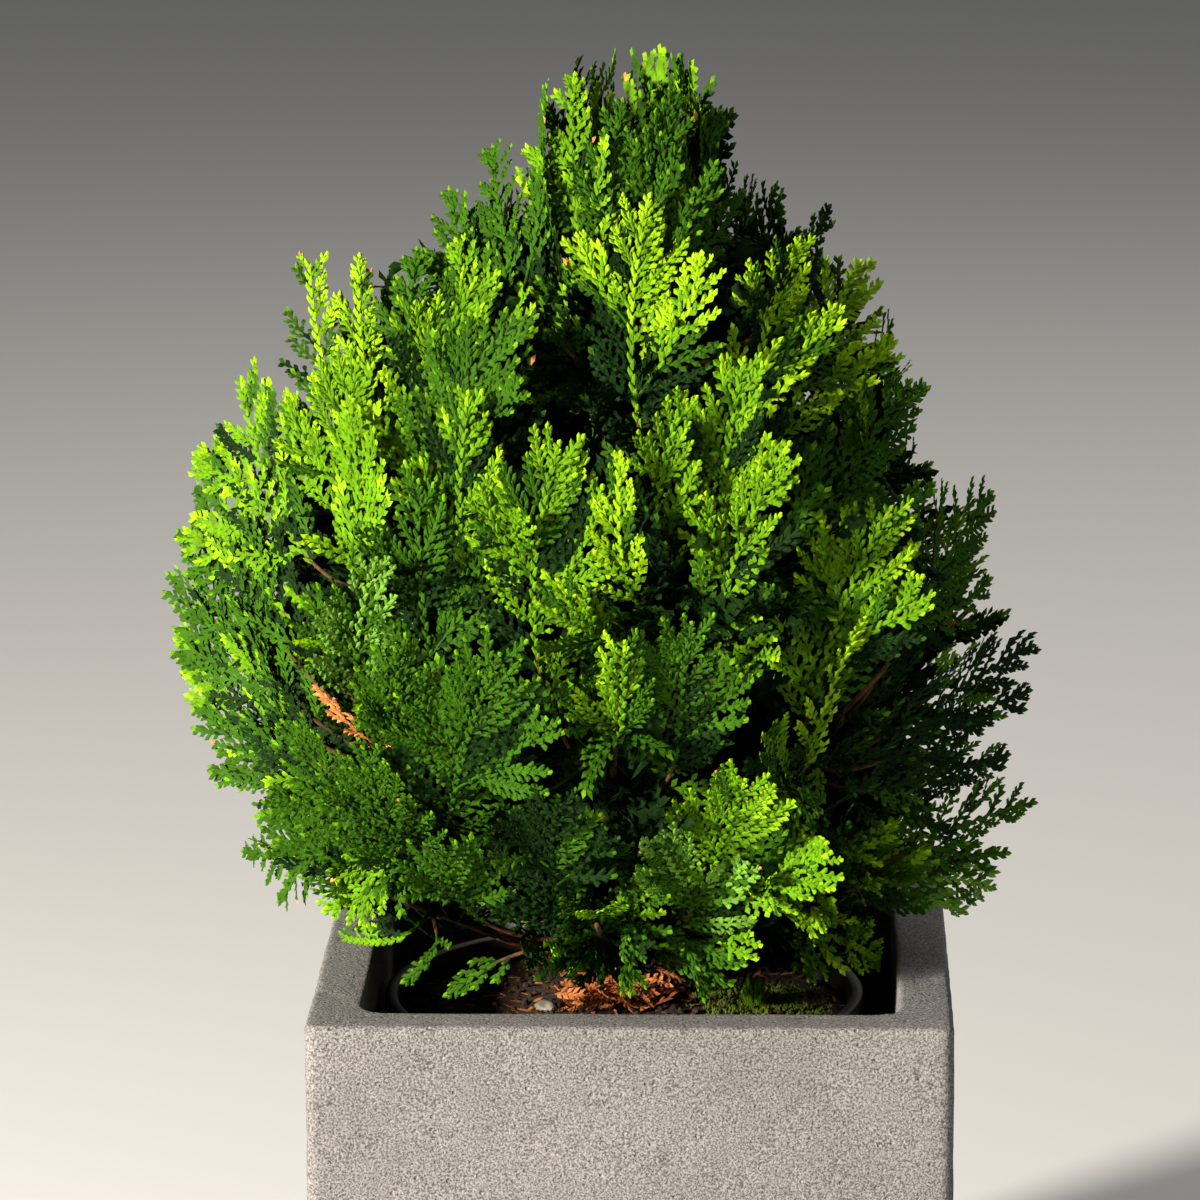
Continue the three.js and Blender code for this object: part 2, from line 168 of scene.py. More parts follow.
def heaped(random, middle, spread):
    """A random number within a spread of a middle, more often near it than far from it."""
    return middle + spread * (next(random) + next(random) - 1)


def unit(vector):
    return vector / np.linalg.norm(vector)


def trunk_at(height):
    """The middle of the trunk at a height: a smooth curve through its lean."""
    share = min(max((height - GROUND) / (TRUNK_TOP - GROUND), 0), 1)
    spans = len(TRUNK_LEAN) - 1
    span = min(int(share * spans), spans - 1)
    t = share * spans - span
    points = [np.array(point, float) for point in TRUNK_LEAN]
    points = [2 * points[0] - points[1], *points, 2 * points[-1] - points[-2]]
    a, b, c, d = points[span : span + 4]
    x, y = b + 0.5 * t * (c - a + t * (2 * a - 5 * b + 4 * c - d + t * (3 * (b - c) + d - a)))
    return np.array([x, y, height])


def crown_radius_at(height, outward):
    """The crown's radius at a height in a level direction, as an ellipse between its three radii."""
    heights, left, right, depth = zip(*CROWN)
    to_left, to_right = np.interp(height, heights, left), np.interp(height, heights, right)
    side = np.where(outward[..., 0] < 0, to_left, to_right)
    share = outward[..., 0] ** 2
    return side * share + np.interp(height, heights, depth) * (1 - share)


def outward_at(point):
    """Straight away from the trunk, level."""
    away = point - trunk_at(point[2])
    away[2] = 0
    return unit(away)


def on_outline(point, share=1.0):
    """The place at a share of the crown's radius straight out from the trunk, at a point's height."""
    height = min(max(point[2], CROWN_FOOT), CROWN_TOP - 1)
    outward = outward_at(point)
    return trunk_at(height) + outward * crown_radius_at(height, outward) * share


def at_front(across, height, share):
    """The place at a share of the crown's depth, seen from the front at a place across and a height."""
    middle = trunk_at(height)
    aside = across - middle[0]
    side = np.array([math.copysign(1, aside), 0])
    part = min(abs(aside) / crown_radius_at(height, side), 0.99)
    deep = crown_radius_at(height, np.array([0, -1])) * math.sqrt(1 - part * part)
    return np.array([across, middle[1] - deep * share, height])


# A bough and the mass that it carries: their tier, their number in it, and the three points of the
# curve that they share.
Place = namedtuple("Place", "tier index root bend tip")


def make_places():
    """Every bough and mass of the crown, in turns round the trunk."""
    places = []
    for tier in TIERS:
        for i in range(tier.count):
            azimuth = math.radians(tier.first + i * 360 / tier.count)
            outward = np.array([math.cos(azimuth), math.sin(azimuth), 0.0])
            to_left = max(0, math.cos(azimuth - math.radians(LEFT)))
            leave = tier.leave + tier.climb * i
            tip_height = tier.tip + tier.left_rise * to_left
            root = trunk_at(leave)
            bend = trunk_at(leave) + outward * tier.reach * tier.belly
            bend[2] = leave + (tip_height - leave) * tier.lift
            places.append(Place(tier, i, root, bend, trunk_at(tip_height) + outward * tier.reach))
    return places


def curve_point(points, share):
    """A point on the Bezier curve of three or four points."""
    points = list(points)
    while len(points) > 1:
        points = [a + (b - a) * share for a, b in zip(points, points[1:])]
    return points[0]


def curve_path(points, count):
    """A number of points along the Bezier curve of three or four points."""
    return np.array([curve_point(points, share) for share in np.linspace(0, 1, count)])


def place_point(place, share):
    return curve_point((place.root, place.bend, place.tip), share)


def stem_point(place, share):
    """A point on the stem of a mass, which runs on from its bough."""
    return place_point(place, place.tier.split + (STEM_END - place.tier.split) * share)


PLACES = make_places()
HEARTS = np.array([place_point(place, place.tier.heart) for place in PLACES])


def depth_in_space(point, own):
    """How far a point lies inside the space of one mass, which is all that is nearest its heart."""
    others = np.delete(HEARTS, own, axis=0)
    apart = np.linalg.norm(others - HEARTS[own], axis=1)
    nearer = ((point - others) ** 2).sum(1) - ((point - HEARTS[own]) ** 2).sum()
    return (nearer / (2 * apart)).min()


def fan_tips(own, first, count, ring, random):
    """The tips of fronds in a fan round the heart of a mass, each near the edge of its space."""
    reach_share, low, high = ring
    aside = np.cross(UP, outward_at(PLACES[own].tip))
    tips = []
    for k in range(count):
        angle = math.radians(first + k * 360 / count + stray(random, FAN_JITTER))
        along = UP * math.cos(angle) + aside * math.sin(angle)

        def tip_at(reach):
            return on_outline(HEARTS[own] + along * reach)

        reach = FAN_REACH[0]
        if depth_in_space(tip_at(reach), own) < FAN_DEPTH:
            continue
        while reach < FAN_REACH[1] and depth_in_space(tip_at(reach + FAN_STEP), own) > FAN_DEPTH:
            reach += FAN_STEP
        tip = tip_at(reach * reach_share)
        tips.append(on_outline(tip, low + (high - low) * next(random)))
    return tips


# The sprays. A spray is a narrow flat comb: an axis, and on both sides short shoots of blunt lobes,
# all clad in scale leaves. Every lobe, and every link of an axis, is the hull of the same few points:
# keeled and blunt where it shows, and a plain kite in the shade.

KEELED = ((-0.42, -0.05, 0), (0.42, -0.05, 0), (-0.5, 0.7, 0), (0.5, 0.7, 0), (0, 0.96, 0.42))
KITE = ((0, -0.1, 0), (-0.5, 0.6, 0.26), (0.5, 0.6, 0.26), (0, 1, 0))
OLDEST, YOUNGEST = 0, 4

# A spray's grain is the width and length of its lobes, and the spacing of its shoots.
Grain = namedtuple("Grain", "width lobe pitch")
Lobe = namedtuple("Lobe", "x y heading reach width age lift")
Spray = namedtuple("Spray", "points faces ages lobes length")

# A spray's axis takes a share of its length, and its links lap one another and grow younger towards
# its tip. Each step of it bears a shoot on both sides, which leaves at a place in the step and at an
# angle that closes towards the tip and strays a little. The lobes of a shoot lap too, lean by turns
# to either side and grow younger outwards, and it curves forward.
AXIS_SHARE = 0.9
AXIS_LAP = 1.35
AXIS_AGEING = 3
SHOOT_STARTS = ((-1, 0.85), (1, 0.35))
SHOOT_SHARE = 0.28
SHOOT_ANGLE = 40
SHOOT_CLOSING = 8
SHOOT_JITTER = 8
SHOOT_AGE = 0.8
SHOOT_AGEING = 2.2
SHOOT_LEAN = 10
SHOOT_CURVE = 0.92
LOBE_LAP = 1.32
LOBE_AGEING = 0.5
AGE_JITTER = 0.8
LIFT_JITTER = 0.3
LIFT_SLOPE = 0.6


def mesh_arrays(mesh):
    """The points and faces of a bmesh, which is freed, as arrays."""
    mesh.verts.index_update()
    points = np.array([v.co for v in mesh.verts])
    faces = np.array([[v.index for v in face.verts] for face in mesh.faces])
    mesh.free()
    return points, faces


def hull_shape(corners):
    """The hull of a few points: its points and its faces, as arrays."""
    mesh = bmesh.new()
    for point in corners:
        mesh.verts.new(point)
    bmesh.ops.convex_hull(mesh, input=mesh.verts[:])
    bmesh.ops.triangulate(mesh, faces=mesh.faces[:])
    bmesh.ops.recalc_face_normals(mesh, faces=mesh.faces[:])
    return mesh_arrays(mesh)


def add_lobe(lobes, x, y, degrees, reach, width, age, random):
    """Adds one lobe or link, with a little of its own lift and age. An age runs from 0 to 4."""
    age = int(np.clip(round(age + stray(random, AGE_JITTER)), OLDEST, YOUNGEST))
    lobes.append(Lobe(x, y, math.radians(degrees), reach, width, age, stray(random, LIFT_JITTER)))


def add_shoot(lobes, y, degrees, reach, grain, age, random):
    """Adds a side shoot: a chain of blunt lobes that overlap, and lean to either side by turns."""
    links = max(1, round(reach / grain.lobe))
    step, x = reach / links, 0.0
    for i in range(links):
        heading = degrees + (SHOOT_LEAN if i % 2 else -SHOOT_LEAN)
        link_age = age + LOBE_AGEING * i
        add_lobe(lobes, x, y, heading, step * LOBE_LAP, grain.width, link_age, random)
        x += step * math.sin(math.radians(degrees))
        y += step * math.cos(math.radians(degrees))
        degrees *= SHOOT_CURVE


def add_spray(lobes, reach, grain, random):
    """Adds a whole spray along +Y: an axis, and shoots by turns on both sides, the longest of them
    a quarter of the way up."""
    axis = reach * AXIS_SHARE
    steps = max(2, round(axis / grain.pitch))
    step = axis / steps
    for i in range(steps):
        share = i / steps
        add_lobe(lobes, 0, step * i, 0, step * AXIS_LAP, grain.width, AXIS_AGEING * share, random)
        for side, start in SHOOT_STARTS:
            length = reach * SHOOT_SHARE * min(1, 0.5 + 2 * share) * (1.1 - share) ** 0.7
            length = max(length, grain.lobe) * (0.75 + 0.5 * next(random))
            angle = side * (SHOOT_ANGLE - SHOOT_CLOSING * share + stray(random, SHOOT_JITTER))
            age = SHOOT_AGE + SHOOT_AGEING * share
            add_shoot(lobes, step * (i + start), angle, length, grain, age, random)
    add_lobe(lobes, 0, step * steps, 0, grain.lobe * LOBE_LAP, grain.width, YOUNGEST, random)


def make_spray(shape, length, grain, random):
    """One spray, built flat: its points and faces, and the age and number of each face's lobe."""
    unit_points, unit_faces = hull_shape(shape)
    lobes = []
    add_spray(lobes, length, grain, random)
    points = []
    for lobe in lobes:
        across = unit_points[:, 0] * lobe.width
        along = unit_points[:, 1] * lobe.reach
        raised = unit_points[:, 2] * lobe.width + lobe.lift * along * LIFT_SLOPE
        sine, cosine = math.sin(lobe.heading), math.cos(lobe.heading)
        placed = (lobe.x + across * cosine + along * sine, lobe.y + along * cosine - across * sine)
        points.append(np.column_stack((*placed, raised)))
    numbers = np.repeat(np.arange(len(lobes)), len(unit_faces))
    faces = np.vstack([unit_faces + i * len(unit_points) for i in range(len(lobes))])
    ages = np.array([lobe.age for lobe in lobes])[numbers]
    return Spray(np.vstack(points), faces, ages, numbers, length)


# A spray in its place: where its foot is, which way it points and faces, its scale, how far it bends
# along its length, is cupped across it and curls aside, and how deep in the crown it sits.
Instance = namedtuple("Instance", "spray base heading facing scale bend cup curl depth")


def bent_points(item):
    """The points of one spray in its place, bent along its length, cupped across it and curled."""
    x, y, z = item.spray.points.T * item.scale
    reach = item.spray.length * item.scale
    z = z + (item.bend * y * y + item.cup * x * x) / reach
    x = x + item.curl * y * y / reach
    side = np.cross(item.heading, item.facing)
    return item.base + np.outer(x, side) + np.outer(y, item.heading) + np.outer(z, item.facing)


def turned_about(vector, axis, angle):
    """A vector turned about a unit axis by an angle in radians."""
    turned = vector * math.cos(angle) + np.cross(axis, vector) * math.sin(angle)
    return turned + axis * axis.dot(vector) * (1 - math.cos(angle))


# How far the points of a spray may lie past the crown's outline: for the side sprays of a frond,
# for a frond that is placed one by one, for the spray at a frond's tip, for the last points of a
# twig, and for the plain sprays of the shade. A small share of the points may lie further out. All
# keep clear of the compost and of the planter's walls.
OUTLINE_SLACK = 5
SHOWN_SLACK = 20
END_SLACK = 26
PATH_SLACK = 2
CORE_SLACK = -14
OUTSIDE_SHARE = 0.03
COMPOST_CLEAR = 4
RIM_CLEAR = 1.5


def stays_inside(points, slack):
    """Whether a spray keeps near the crown's outline, above the compost and off the walls."""
    away = (points - trunk_at(points[:, 2].mean()))[:, :2]
    reach = np.linalg.norm(away, axis=1)
    limit = crown_radius_at(points[:, 2], away / reach[:, None]) + slack
    if (reach > limit).mean() > OUTSIDE_SHARE or points[:, 2].max() > CROWN_TOP:
        return False
    if points[:, 2].min() < GROUND + COMPOST_CLEAR:
        return False
    low = points[points[:, 2] < RIM + RIM_CLEAR]
    if len(low) == 0:
        return True
    reach = np.abs(low[:, :2]).max(1)
    inner, outer = HALF_SIDE - PLANTER_WALL - RIM_CLEAR, HALF_SIDE + RIM_CLEAR
    return bool((reach < inner).all() or (reach > outer).all())


# The clearing at the foot of the plant, through which the compost and the lowest bough show from
# the front: up to what height it is open at places across, at the planter's middle. It is open
# higher up nearer the front, by the slope of the line of sight, and it reaches so far back.
CLEARING = (
    (-126, 298), (-116, 300), (-112, 322), (-96, 322), (-76, 317), (-60, 311), (-44, 303), (-36, 292),
    (-26, 288), (32, 288), (98, 292), (104, 310), (126, 310),
)
SIGHT_FALL = 0.225
CLEARING_BACK = 100


def in_clearing(points):
    """Whether a spray would stand in the clearing, judged between its middle and its lowest point."""
    x, y, z = points.mean(axis=0)
    z = (z + points[:, 2].min()) / 2
    places, heights = zip(*CLEARING)
    if not places[0] < x < places[-1] or y > CLEARING_BACK:
        return False
    return z + SIGHT_FALL * y < np.interp(x, places, heights)


# A frond: its mass, its path, where it faces, the length of it that bears sprays, whether it lies
# deep in the crown, its tone if it is placed one by one, and its width next to a usual one.
Frond = namedtuple("Frond", "own path facing leafy deep tone width")

# How many points the path of a frond and of a side branch has, which of them lie where they bear
# sprays, and how many at the end of a path are tested for its place.
PATH_POINTS = 28
BRANCH_POINTS = 14
SHOWN_LEAFY = slice(17, None)
BRANCH_LEAFY = slice(5, None)
PATH_END = slice(-9, None)
PATH_TIP = slice(-3, None)

# The side branches of a frond: the shares of its leafy length at which they leave, and their width
# next to its own. A narrow frond has none.
BRANCH_SHARES = (0.46, 0.68)
BRANCH_WIDTH = 0.72
NARROW = 0.65

# How near the tip of a frond that is placed one by one no other frond ends, how deep in the crown
# its tip and its foot lie, and the longest that it bears sprays.
SHOWN_CLEAR = 24
SHOWN_TIP_DEPTH = 0.98
SHOWN_FOOT_DEPTH = 0.8
SHOWN_LONGEST = 135

# The fronds that show most from the front: where the tip and the foot of each lie across and in height,
# its tone, how far it turns its face to the front, and its width next to a usual one. The tones are
# partly the fronds' own colour and partly painted light and shade: deep is a painted shade on fronds in
# shade, most of them on the right, and bright and fresh are partly painted light on lit fronds.
Shown = namedtuple("Shown", "tip_x tip_z foot_x foot_z tone face width")
SHOWN = [Shown(*row) for row in (
    (-27, 724, -16, 640, "bright", 0.5, 0.7),
    (-4, 714, -4, 640, "green", 0.6, 0.7),
    (-86, 668, -56, 600, "green", 0.6, 0.8),
    (22, 717, 14, 640, "green", 0.5, 0.7),
    (-41, 715, -30, 635, "green", 0.3, 0.7),
    (41, 704, 30, 635, "green", 0.3, 0.7),
    (-66, 688, -42, 620, "green", 0.7, 0.8),
    (-82, 650, -50, 590, "bright", 0.7, 0.8),
    (9, 674, 6, 585, "fresh", 0.8, 1.1),
    (92, 660, 74, 612, "deep", 0.7, 0.5),
    (78, 650, 60, 580, "fresh", 0.8, 0.9),
    (106, 634, 76, 560, "fresh", 0.9, 1.1),
    (-153, 642, -126, 560, "fresh", 0.9, 0.7),
    (-127, 641, -114, 570, "fresh", 0.9, 0.6),
    (-100, 646, -95, 575, "green", 0.6, 0.7),
    (-70, 640, -95, 560, "bright", 0.8, 1.1),
    (-50, 626, -88, 560, "green", 0.8, 1.0),
    (-185, 580, -140, 495, "bright", 0.8, 1.1),
    (-202, 548, -150, 480, "bright", 0.6, 1.0),
    (-125, 600, -132, 500, "bright", 0.9, 1.2),
    (-206, 530, -152, 465, "green", 0.5, 0.9),
    (-214, 507, -156, 445, "green", 0.45, 0.85),
    (-218, 486, -152, 430, "green", 0.4, 0.85),
    (-214, 462, -150, 415, "bright", 0.4, 0.85),
    (-204, 430, -146, 398, "green", 0.3, 0.9),
    (-30, 576, -38, 465, "bright", 0.9, 1.25),
    (-72, 594, -66, 495, "bright", 0.8, 1.0),
    (-94, 556, -80, 465, "green", 0.8, 1.0),
    (27, 596, 15, 520, "bright", 0.8, 0.7),
    (-2, 572, 7, 490, "fresh", 0.3, 0.6),
    (53, 608, 50, 525, "bright", 0.7, 1.0),
    (130, 584, 90, 515, "green", 0.7, 1.1),
    (168, 526, 128, 460, "green", 0.3, 1.0),
    (65, 560, 45, 475, "bright", 0.9, 1.1),
    (120, 536, 92, 455, "bright", 0.9, 1.2),
    (188, 452, 130, 424, "deep", 0.3, 0.8),
    (187, 430, 126, 408, "deep", 0.2, 0.7),
    (178, 398, 120, 392, "deep", 0.2, 0.7),
    (108, 492, 87, 415, "fresh", 0.3, 0.45),
    (-56, 486, -76, 380, "green", 0.9, 1.3),
    (-104, 484, -86, 405, "green", 0.8, 1.0),
    (-113, 522, -123, 450, "glaucous", 0.9, 0.9),
    (-142, 462, -112, 430, "dead", 0.5, 0.4),
    (-152, 442, -106, 372, "green", 0.7, 1.0),
    (-120, 436, -94, 362, "green", 0.8, 1.0),
    (-168, 396, -118, 358, "green", 0.6, 1.0),
    (-84, 392, -74, 340, "green", 0.8, 1.1),
    (-30, 420, -30, 350, "deep", 0.8, 1.0),
    (-88, 296, -70, 318, "green", 0.7, 0.5),
    (-108, 300, -92, 318, "green", 0.7, 0.5),
    (30, 500, 32, 420, "green", 0.8, 1.1),
    (54, 424, 44, 350, "bright", 0.9, 1.3),
    (14, 398, 42, 350, "glaucous", 0.8, 0.9),
    (190, 374, 132, 362, "green", 0.5, 0.8),
    (172, 330, 128, 350, "glaucous", 0.6, 0.7),
    (118, 290, 92, 322, "fresh", 0.8, 0.6),
    (34, 302, 26, 340, "green", 0.8, 0.6),
    (0, 308, -4, 345, "green", 0.8, 0.6),
    (-144, 304, -112, 322, "bright", 0.4, 0.5),
    (-145, 338, -112, 372, "bright", 0.7, 0.8),
    (-188, 348, -140, 372, "green", 0.4, 0.8),
)]

# The fronds that grow by rule: the length that bears sprays, of a long one and of one deep in the
# crown, and how far the rise of a frond and the way that it faces stray, in degrees.
LEAFY_LENGTH = 122
DEEP_LENGTH = 96
RISE_JITTER = 18
FACING_JITTER = 64


def grow_fronds():
    """Every frond of the crown: twigs that leave the stem of a mass and end at the crown's outline."""
    fronds = [grow_shown(shown, seeded("shown", i)) for i, shown in enumerate(SHOWN)]
    taken = np.vstack([frond.path[SHOWN_LEAFY] for frond in fronds])
    for own, place in enumerate(PLACES):
        random = seeded("mass", own)
        count = place.tier.fronds
        tips = [place.tip, *fan_tips(own, FAN_FIRST, count, OUTER_RING, random)]
        tips += fan_tips(own, FAN_FIRST + 180 / count, count, INNER_RING, random)
        for i, tip in enumerate(tips):
            deep = i > count
            frond = grow_frond(own, tip, deep, random)
            path_end = frond.path[PATH_END]
            if in_clearing(path_end) or not stays_inside(path_end, PATH_SLACK):
                continue
            if deep or np.linalg.norm(taken - tip, axis=1).min() > SHOWN_CLEAR:
                fronds.append(frond)
    branches = []
    for i, frond in enumerate(fronds):
        if not frond.deep and frond.width > NARROW:
            branches += branch_off(frond, seeded("branch", i))
    return fronds + branches


def branch_off(frond, random):
    """The side branches of a frond, which leave its twig by turns and curve forward beside it."""
    branches = []
    side = 1 if next(random) > 0.5 else -1
    for share in BRANCH_SHARES:
        back = frond.leafy * share * (0.9 + 0.2 * next(random))
        base, along = along_path(frond.path, back)
        aside = np.cross(along, squared_to(frond.facing, along)) * side
        outward = unit(along + aside * (0.7 + 0.3 * next(random)))
        reach = back * (0.62 + 0.16 * next(random)) * frond.width ** 0.5
        tip = base + unit(outward + 0.3 * along) * reach
        points = (base, base + outward * reach * 0.35, base + outward * reach * 0.7, tip)
        path = curve_path(points, BRANCH_POINTS)
        facing = turned_about(frond.facing, along, math.radians(-side * (6 + 20 * next(random))))
        leafy_part = path[BRANCH_LEAFY]
        slack = SHOWN_SLACK if frond.tone else 0
        if not stays_inside(leafy_part, slack) or in_clearing(leafy_part):
            continue
        width = frond.width * BRANCH_WIDTH
        branches.append(Frond(frond.own, path, facing, reach * 0.96, False, frond.tone, width))
        side = -side
    return branches


def grow_shown(shown, random):
    """One frond in its place at the front, from the stem of the mass that its foot lies in."""
    tip = at_front(shown.tip_x, shown.tip_z, SHOWN_TIP_DEPTH)
    foot = at_front(shown.foot_x, shown.foot_z, SHOWN_FOOT_DEPTH)
    own = int(np.argmin(np.linalg.norm(HEARTS - foot, axis=1)))
    along = tip - foot
    bow = np.array([along[2], 0, -along[0]]) * stray(random, 0.36)
    points = (stem_point(PLACES[own], 0.4), foot - along * 0.3, foot + along * 0.3 + bow, tip)
    path = curve_path(points, PATH_POINTS)
    facing = (1 - shown.face) * outward_at(tip) + shown.face * np.array([0.0, -1.0, 0.2])
    facing = turned_about(facing, unit(along), math.radians(stray(random, 24)))
    leafy = min(SHOWN_LONGEST, 1.3 * np.linalg.norm(along))
    return Frond(own, path, facing, leafy, False, shown.tone, shown.width)


def grow_frond(own, tip, deep, random):
    """One frond that leaves its stem low down, sweeps out and up, and ends at a tip."""
    place = PLACES[own]
    heights, at_sides, fore_and_aft = zip(*HABIT)
    outward = outward_at(tip)
    to_side = outward[0] ** 2
    steepness = to_side * np.interp(tip[2], heights, at_sides)
    steepness += (1 - to_side) * np.interp(tip[2], heights, fore_and_aft)
    rise = math.radians(steepness + stray(random, RISE_JITTER))
    aside = np.cross(UP, outward)
    from_heart = tip - HEARTS[own]
    spread = 0.5 * aside * from_heart.dot(aside) / 90
    heading = unit(outward * math.cos(rise) + UP * math.sin(rise) + spread)
    leafy = (DEEP_LENGTH if deep else LEAFY_LENGTH) * (0.85 + 0.3 * next(random))
    upward = 0.5 + 0.5 * float(np.clip(from_heart[2] / 60, -1, 1))
    start = stem_point(place, upward * 0.8)
    lead = (place.tip - start) * 0.25
    bend = tip - heading * leafy * 0.7
    path = curve_path((start, start + lead, bend, tip), PATH_POINTS)
    facing = turned_about(outward + 0.3 * UP, heading, math.radians(stray(random, FACING_JITTER)))
    return Frond(own, path, facing, leafy, deep, None, 1)


def along_path(path, distance):
    """The point and direction on a path at a distance from its end."""
    steps = np.linalg.norm(np.diff(path, axis=0), axis=1)
    from_end = np.concatenate([np.cumsum(steps[::-1])[::-1], [0]])
    distance = min(distance, from_end[0] * 0.98)
    i = int(np.searchsorted(-from_end, -distance, side="right")) - 1
    i = min(max(i, 0), len(path) - 2)
    share = (from_end[i] - distance) / (from_end[i] - from_end[i + 1])
    return path[i] + (path[i + 1] - path[i]) * share, unit(path[i + 1] - path[i])


def squared_to(facing, heading):
    return unit(facing - heading * facing.dot(heading))


# How far from a frond's tip its sprays have small keeled lobes, and how far fine ones. The sprays
# of a frond deep in the crown count as further in.
YOUNG_DEPTH = 56
FINE_DEPTH = 96
DEEP_MORE = 46

# How long the spray at a frond's tip is. Its side sprays: how far from the tip the first is, how far
# apart they leave, the share that is lost, how long they are, growing from the tip back up to the
# longest, and the angle at which they leave, which opens further back.
TIP_SPRAY = 24
FIRST_BACK = 8
SPRAY_PITCH = 5.5
COARSE_PITCH = 8
LOST_SHARE = 0.06
SPRAY_FOOT = 9
SPRAY_GROWTH = 0.5
SPRAY_LONGEST = 37
SPRAY_ANGLE = 34
SPRAY_OPENING = 10


def clothe_frond(frond, kits, random):
    """The sprays of one frond: one at its tip, and others by turns on both sides of its twig."""
    made = []
    hangs_low = in_clearing(frond.path[PATH_TIP])

    def add(base, heading, facing, reach, bend, curl, depth, slack):
        depth += DEEP_MORE if frond.deep else 0
        fine = depth < FINE_DEPTH or frond.tone
        kit = kits["young" if depth < YOUNG_DEPTH else "fine" if fine else "coarse"]
        length = min(kit, key=lambda one: abs(one - reach))
        spray = kit[length][int(next(random) * len(kit[length]))]
        scale = reach / length
        item = Instance(spray, base, heading, squared_to(facing, heading), scale, bend, 0, curl, depth)
        points = bent_points(item)
        if in_clearing(points) and not hangs_low:
            return
        if stays_inside(points, max(slack, SHOWN_SLACK) if frond.tone else slack):
            made.append(item)

    base, _ = along_path(frond.path, TIP_SPRAY * (0.85 + 0.3 * next(random)))
    heading = frond.path[-1] - base
    reach = np.linalg.norm(heading)
    bend = stray(random, 0.1)
    add(base, heading / reach, frond.facing, reach, bend, 0, 0, END_SLACK)
    back = FIRST_BACK
    side = 1 if next(random) > 0.5 else -1
    dihedral = 4 + 12 * next(random)
    droop = 0.3 * (next(random) - 0.6)
    while back < frond.leafy:
        share = back / frond.leafy
        base, along = along_path(frond.path, back)
        facing = squared_to(frond.facing, along)
        aside = np.cross(along, facing) * side
        angle = math.radians(SPRAY_ANGLE + SPRAY_OPENING * share + stray(random, 14))
        heading = along * math.cos(angle) + aside * math.sin(angle)
        tilt = math.radians(-side * dihedral + stray(random, 10))
        tilted = turned_about(facing, heading, tilt)
        reach = min(SPRAY_LONGEST, SPRAY_FOOT + SPRAY_GROWTH * back)
        reach *= (0.74 + 0.44 * next(random)) * frond.width
        bend = droop + stray(random, 0.16)
        if next(random) > LOST_SHARE:
            curl = -side * (0.12 + 0.1 * next(random))
            add(base, heading, tilted, reach, bend, curl, back, OUTLINE_SLACK)
        side = -side
        back += (COARSE_PITCH if back > FINE_DEPTH else SPRAY_PITCH) * (0.8 + 0.4 * next(random))
    return made


# Meshes and pieces.


def finish_mesh(mesh, name):
    """A smooth-shaded mesh data block in metres, from a bmesh in millimetres."""
    bmesh.ops.scale(mesh, vec=(MM, MM, MM), verts=mesh.verts[:])
    data = bpy.data.meshes.new(name)
    mesh.to_mesh(data)
    mesh.free()
    data.shade_smooth()
    return data


def arrays_to_mesh(name, points, faces, slots, smooth):
    """A mesh data block in metres from arrays of points in millimetres, triangles and slots."""
    data = bpy.data.meshes.new(name)
    data.vertices.add(len(points))
    data.vertices.foreach_set("co", (points * MM).astype(np.float32).ravel())
    data.loops.add(faces.size)
    data.loops.foreach_set("vertex_index", faces.astype(np.int32).ravel())
    data.polygons.add(len(faces))
    data.polygons.foreach_set("loop_start", np.arange(0, faces.size, 3, dtype=np.int32))
    data.polygons.foreach_set("material_index", slots.astype(np.int32))
    data.polygons.foreach_set("use_smooth", np.full(len(faces), smooth))
    data.update(calc_edges=True)
    return data


def add_piece(name, data, materials, slot, *nodes):
    """A piece of the object that rides on its one body and stands for some of the frame's nodes."""
    piece = bpy.data.objects.new(name, data)
    bpy.context.scene.collection.objects.link(piece)
    for material in materials:
        data.materials.append(material)
    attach(piece, "root")
    if nodes:
        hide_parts(*nodes)


def join_arrays(parts):
    """Points, faces and slots of many small meshes as one."""
    points, faces, slots, count = [], [], [], 0
    for own_points, own_faces, own_slots in parts:
        points.append(own_points)
        faces.append(own_faces + count)
        slots.append(own_slots)
        count += len(own_points)
    return np.vstack(points), np.vstack(faces), np.concatenate(slots)


def turned_frames(path):
    """A matrix at each point of a path, its Z along the path, turning as little as it can."""
    points = [Vector(point) for point in path]
    headings = [(b - a).normalized() for a, b in zip(points, points[1:])]
    headings.append(headings[-1])
    turn = Vector((0, 0, 1)).rotation_difference(headings[0])
    frames = []
    for i, point in enumerate(points):
        if i > 0:
            turn = headings[i - 1].rotation_difference(headings[i]) @ turn
        frames.append(Matrix.Translation(point) @ turn.to_matrix().to_4x4())
    return frames


def bark_relief(angle, travelled, radius):
    """Long fibrous ridges with flakes between them, deeper on a thicker limb."""
    place = Vector((2.1 * math.cos(angle), 2.1 * math.sin(angle), travelled / 26))
    ridge = 1 - 2 * abs(noise.noise(place))
    flake = noise.noise(Vector((5.3 * math.cos(angle), 5.3 * math.sin(angle), travelled / 9)))
    return radius * (0.10 * ridge - 0.05 + 0.05 * flake)


def sweep_limb(mesh, path, radius_at, sides):
    """A closed limb along a path: rings, each with the bark's relief, bridged to one another."""
    rings = []
    frames = turned_frames(path)
    travelled = 0.0
    for i, matrix in enumerate(frames):
        if i > 0:
            travelled += (frames[i].translation - frames[i - 1].translation).length
        radius = radius_at(i / (len(frames) - 1))
        ring = bmesh.ops.create_circle(mesh, segments=sides, radius=radius, matrix=matrix)["verts"]
        for k, vert in enumerate(ring):
            angle = 2 * math.pi * k / sides
            depth = bark_relief(angle, travelled, radius)
            vert.co += (vert.co - matrix.translation).normalized() * depth
        rings.append(ring)
    loops = [list({edge for vert in ring for edge in vert.link_edges}) for ring in rings]
    for low, high in zip(loops, loops[1:]):
        bmesh.ops.bridge_loops(mesh, edges=low + high)
    for loop in (loops[0], loops[-1]):
        bmesh.ops.contextual_create(mesh, geom=loop)


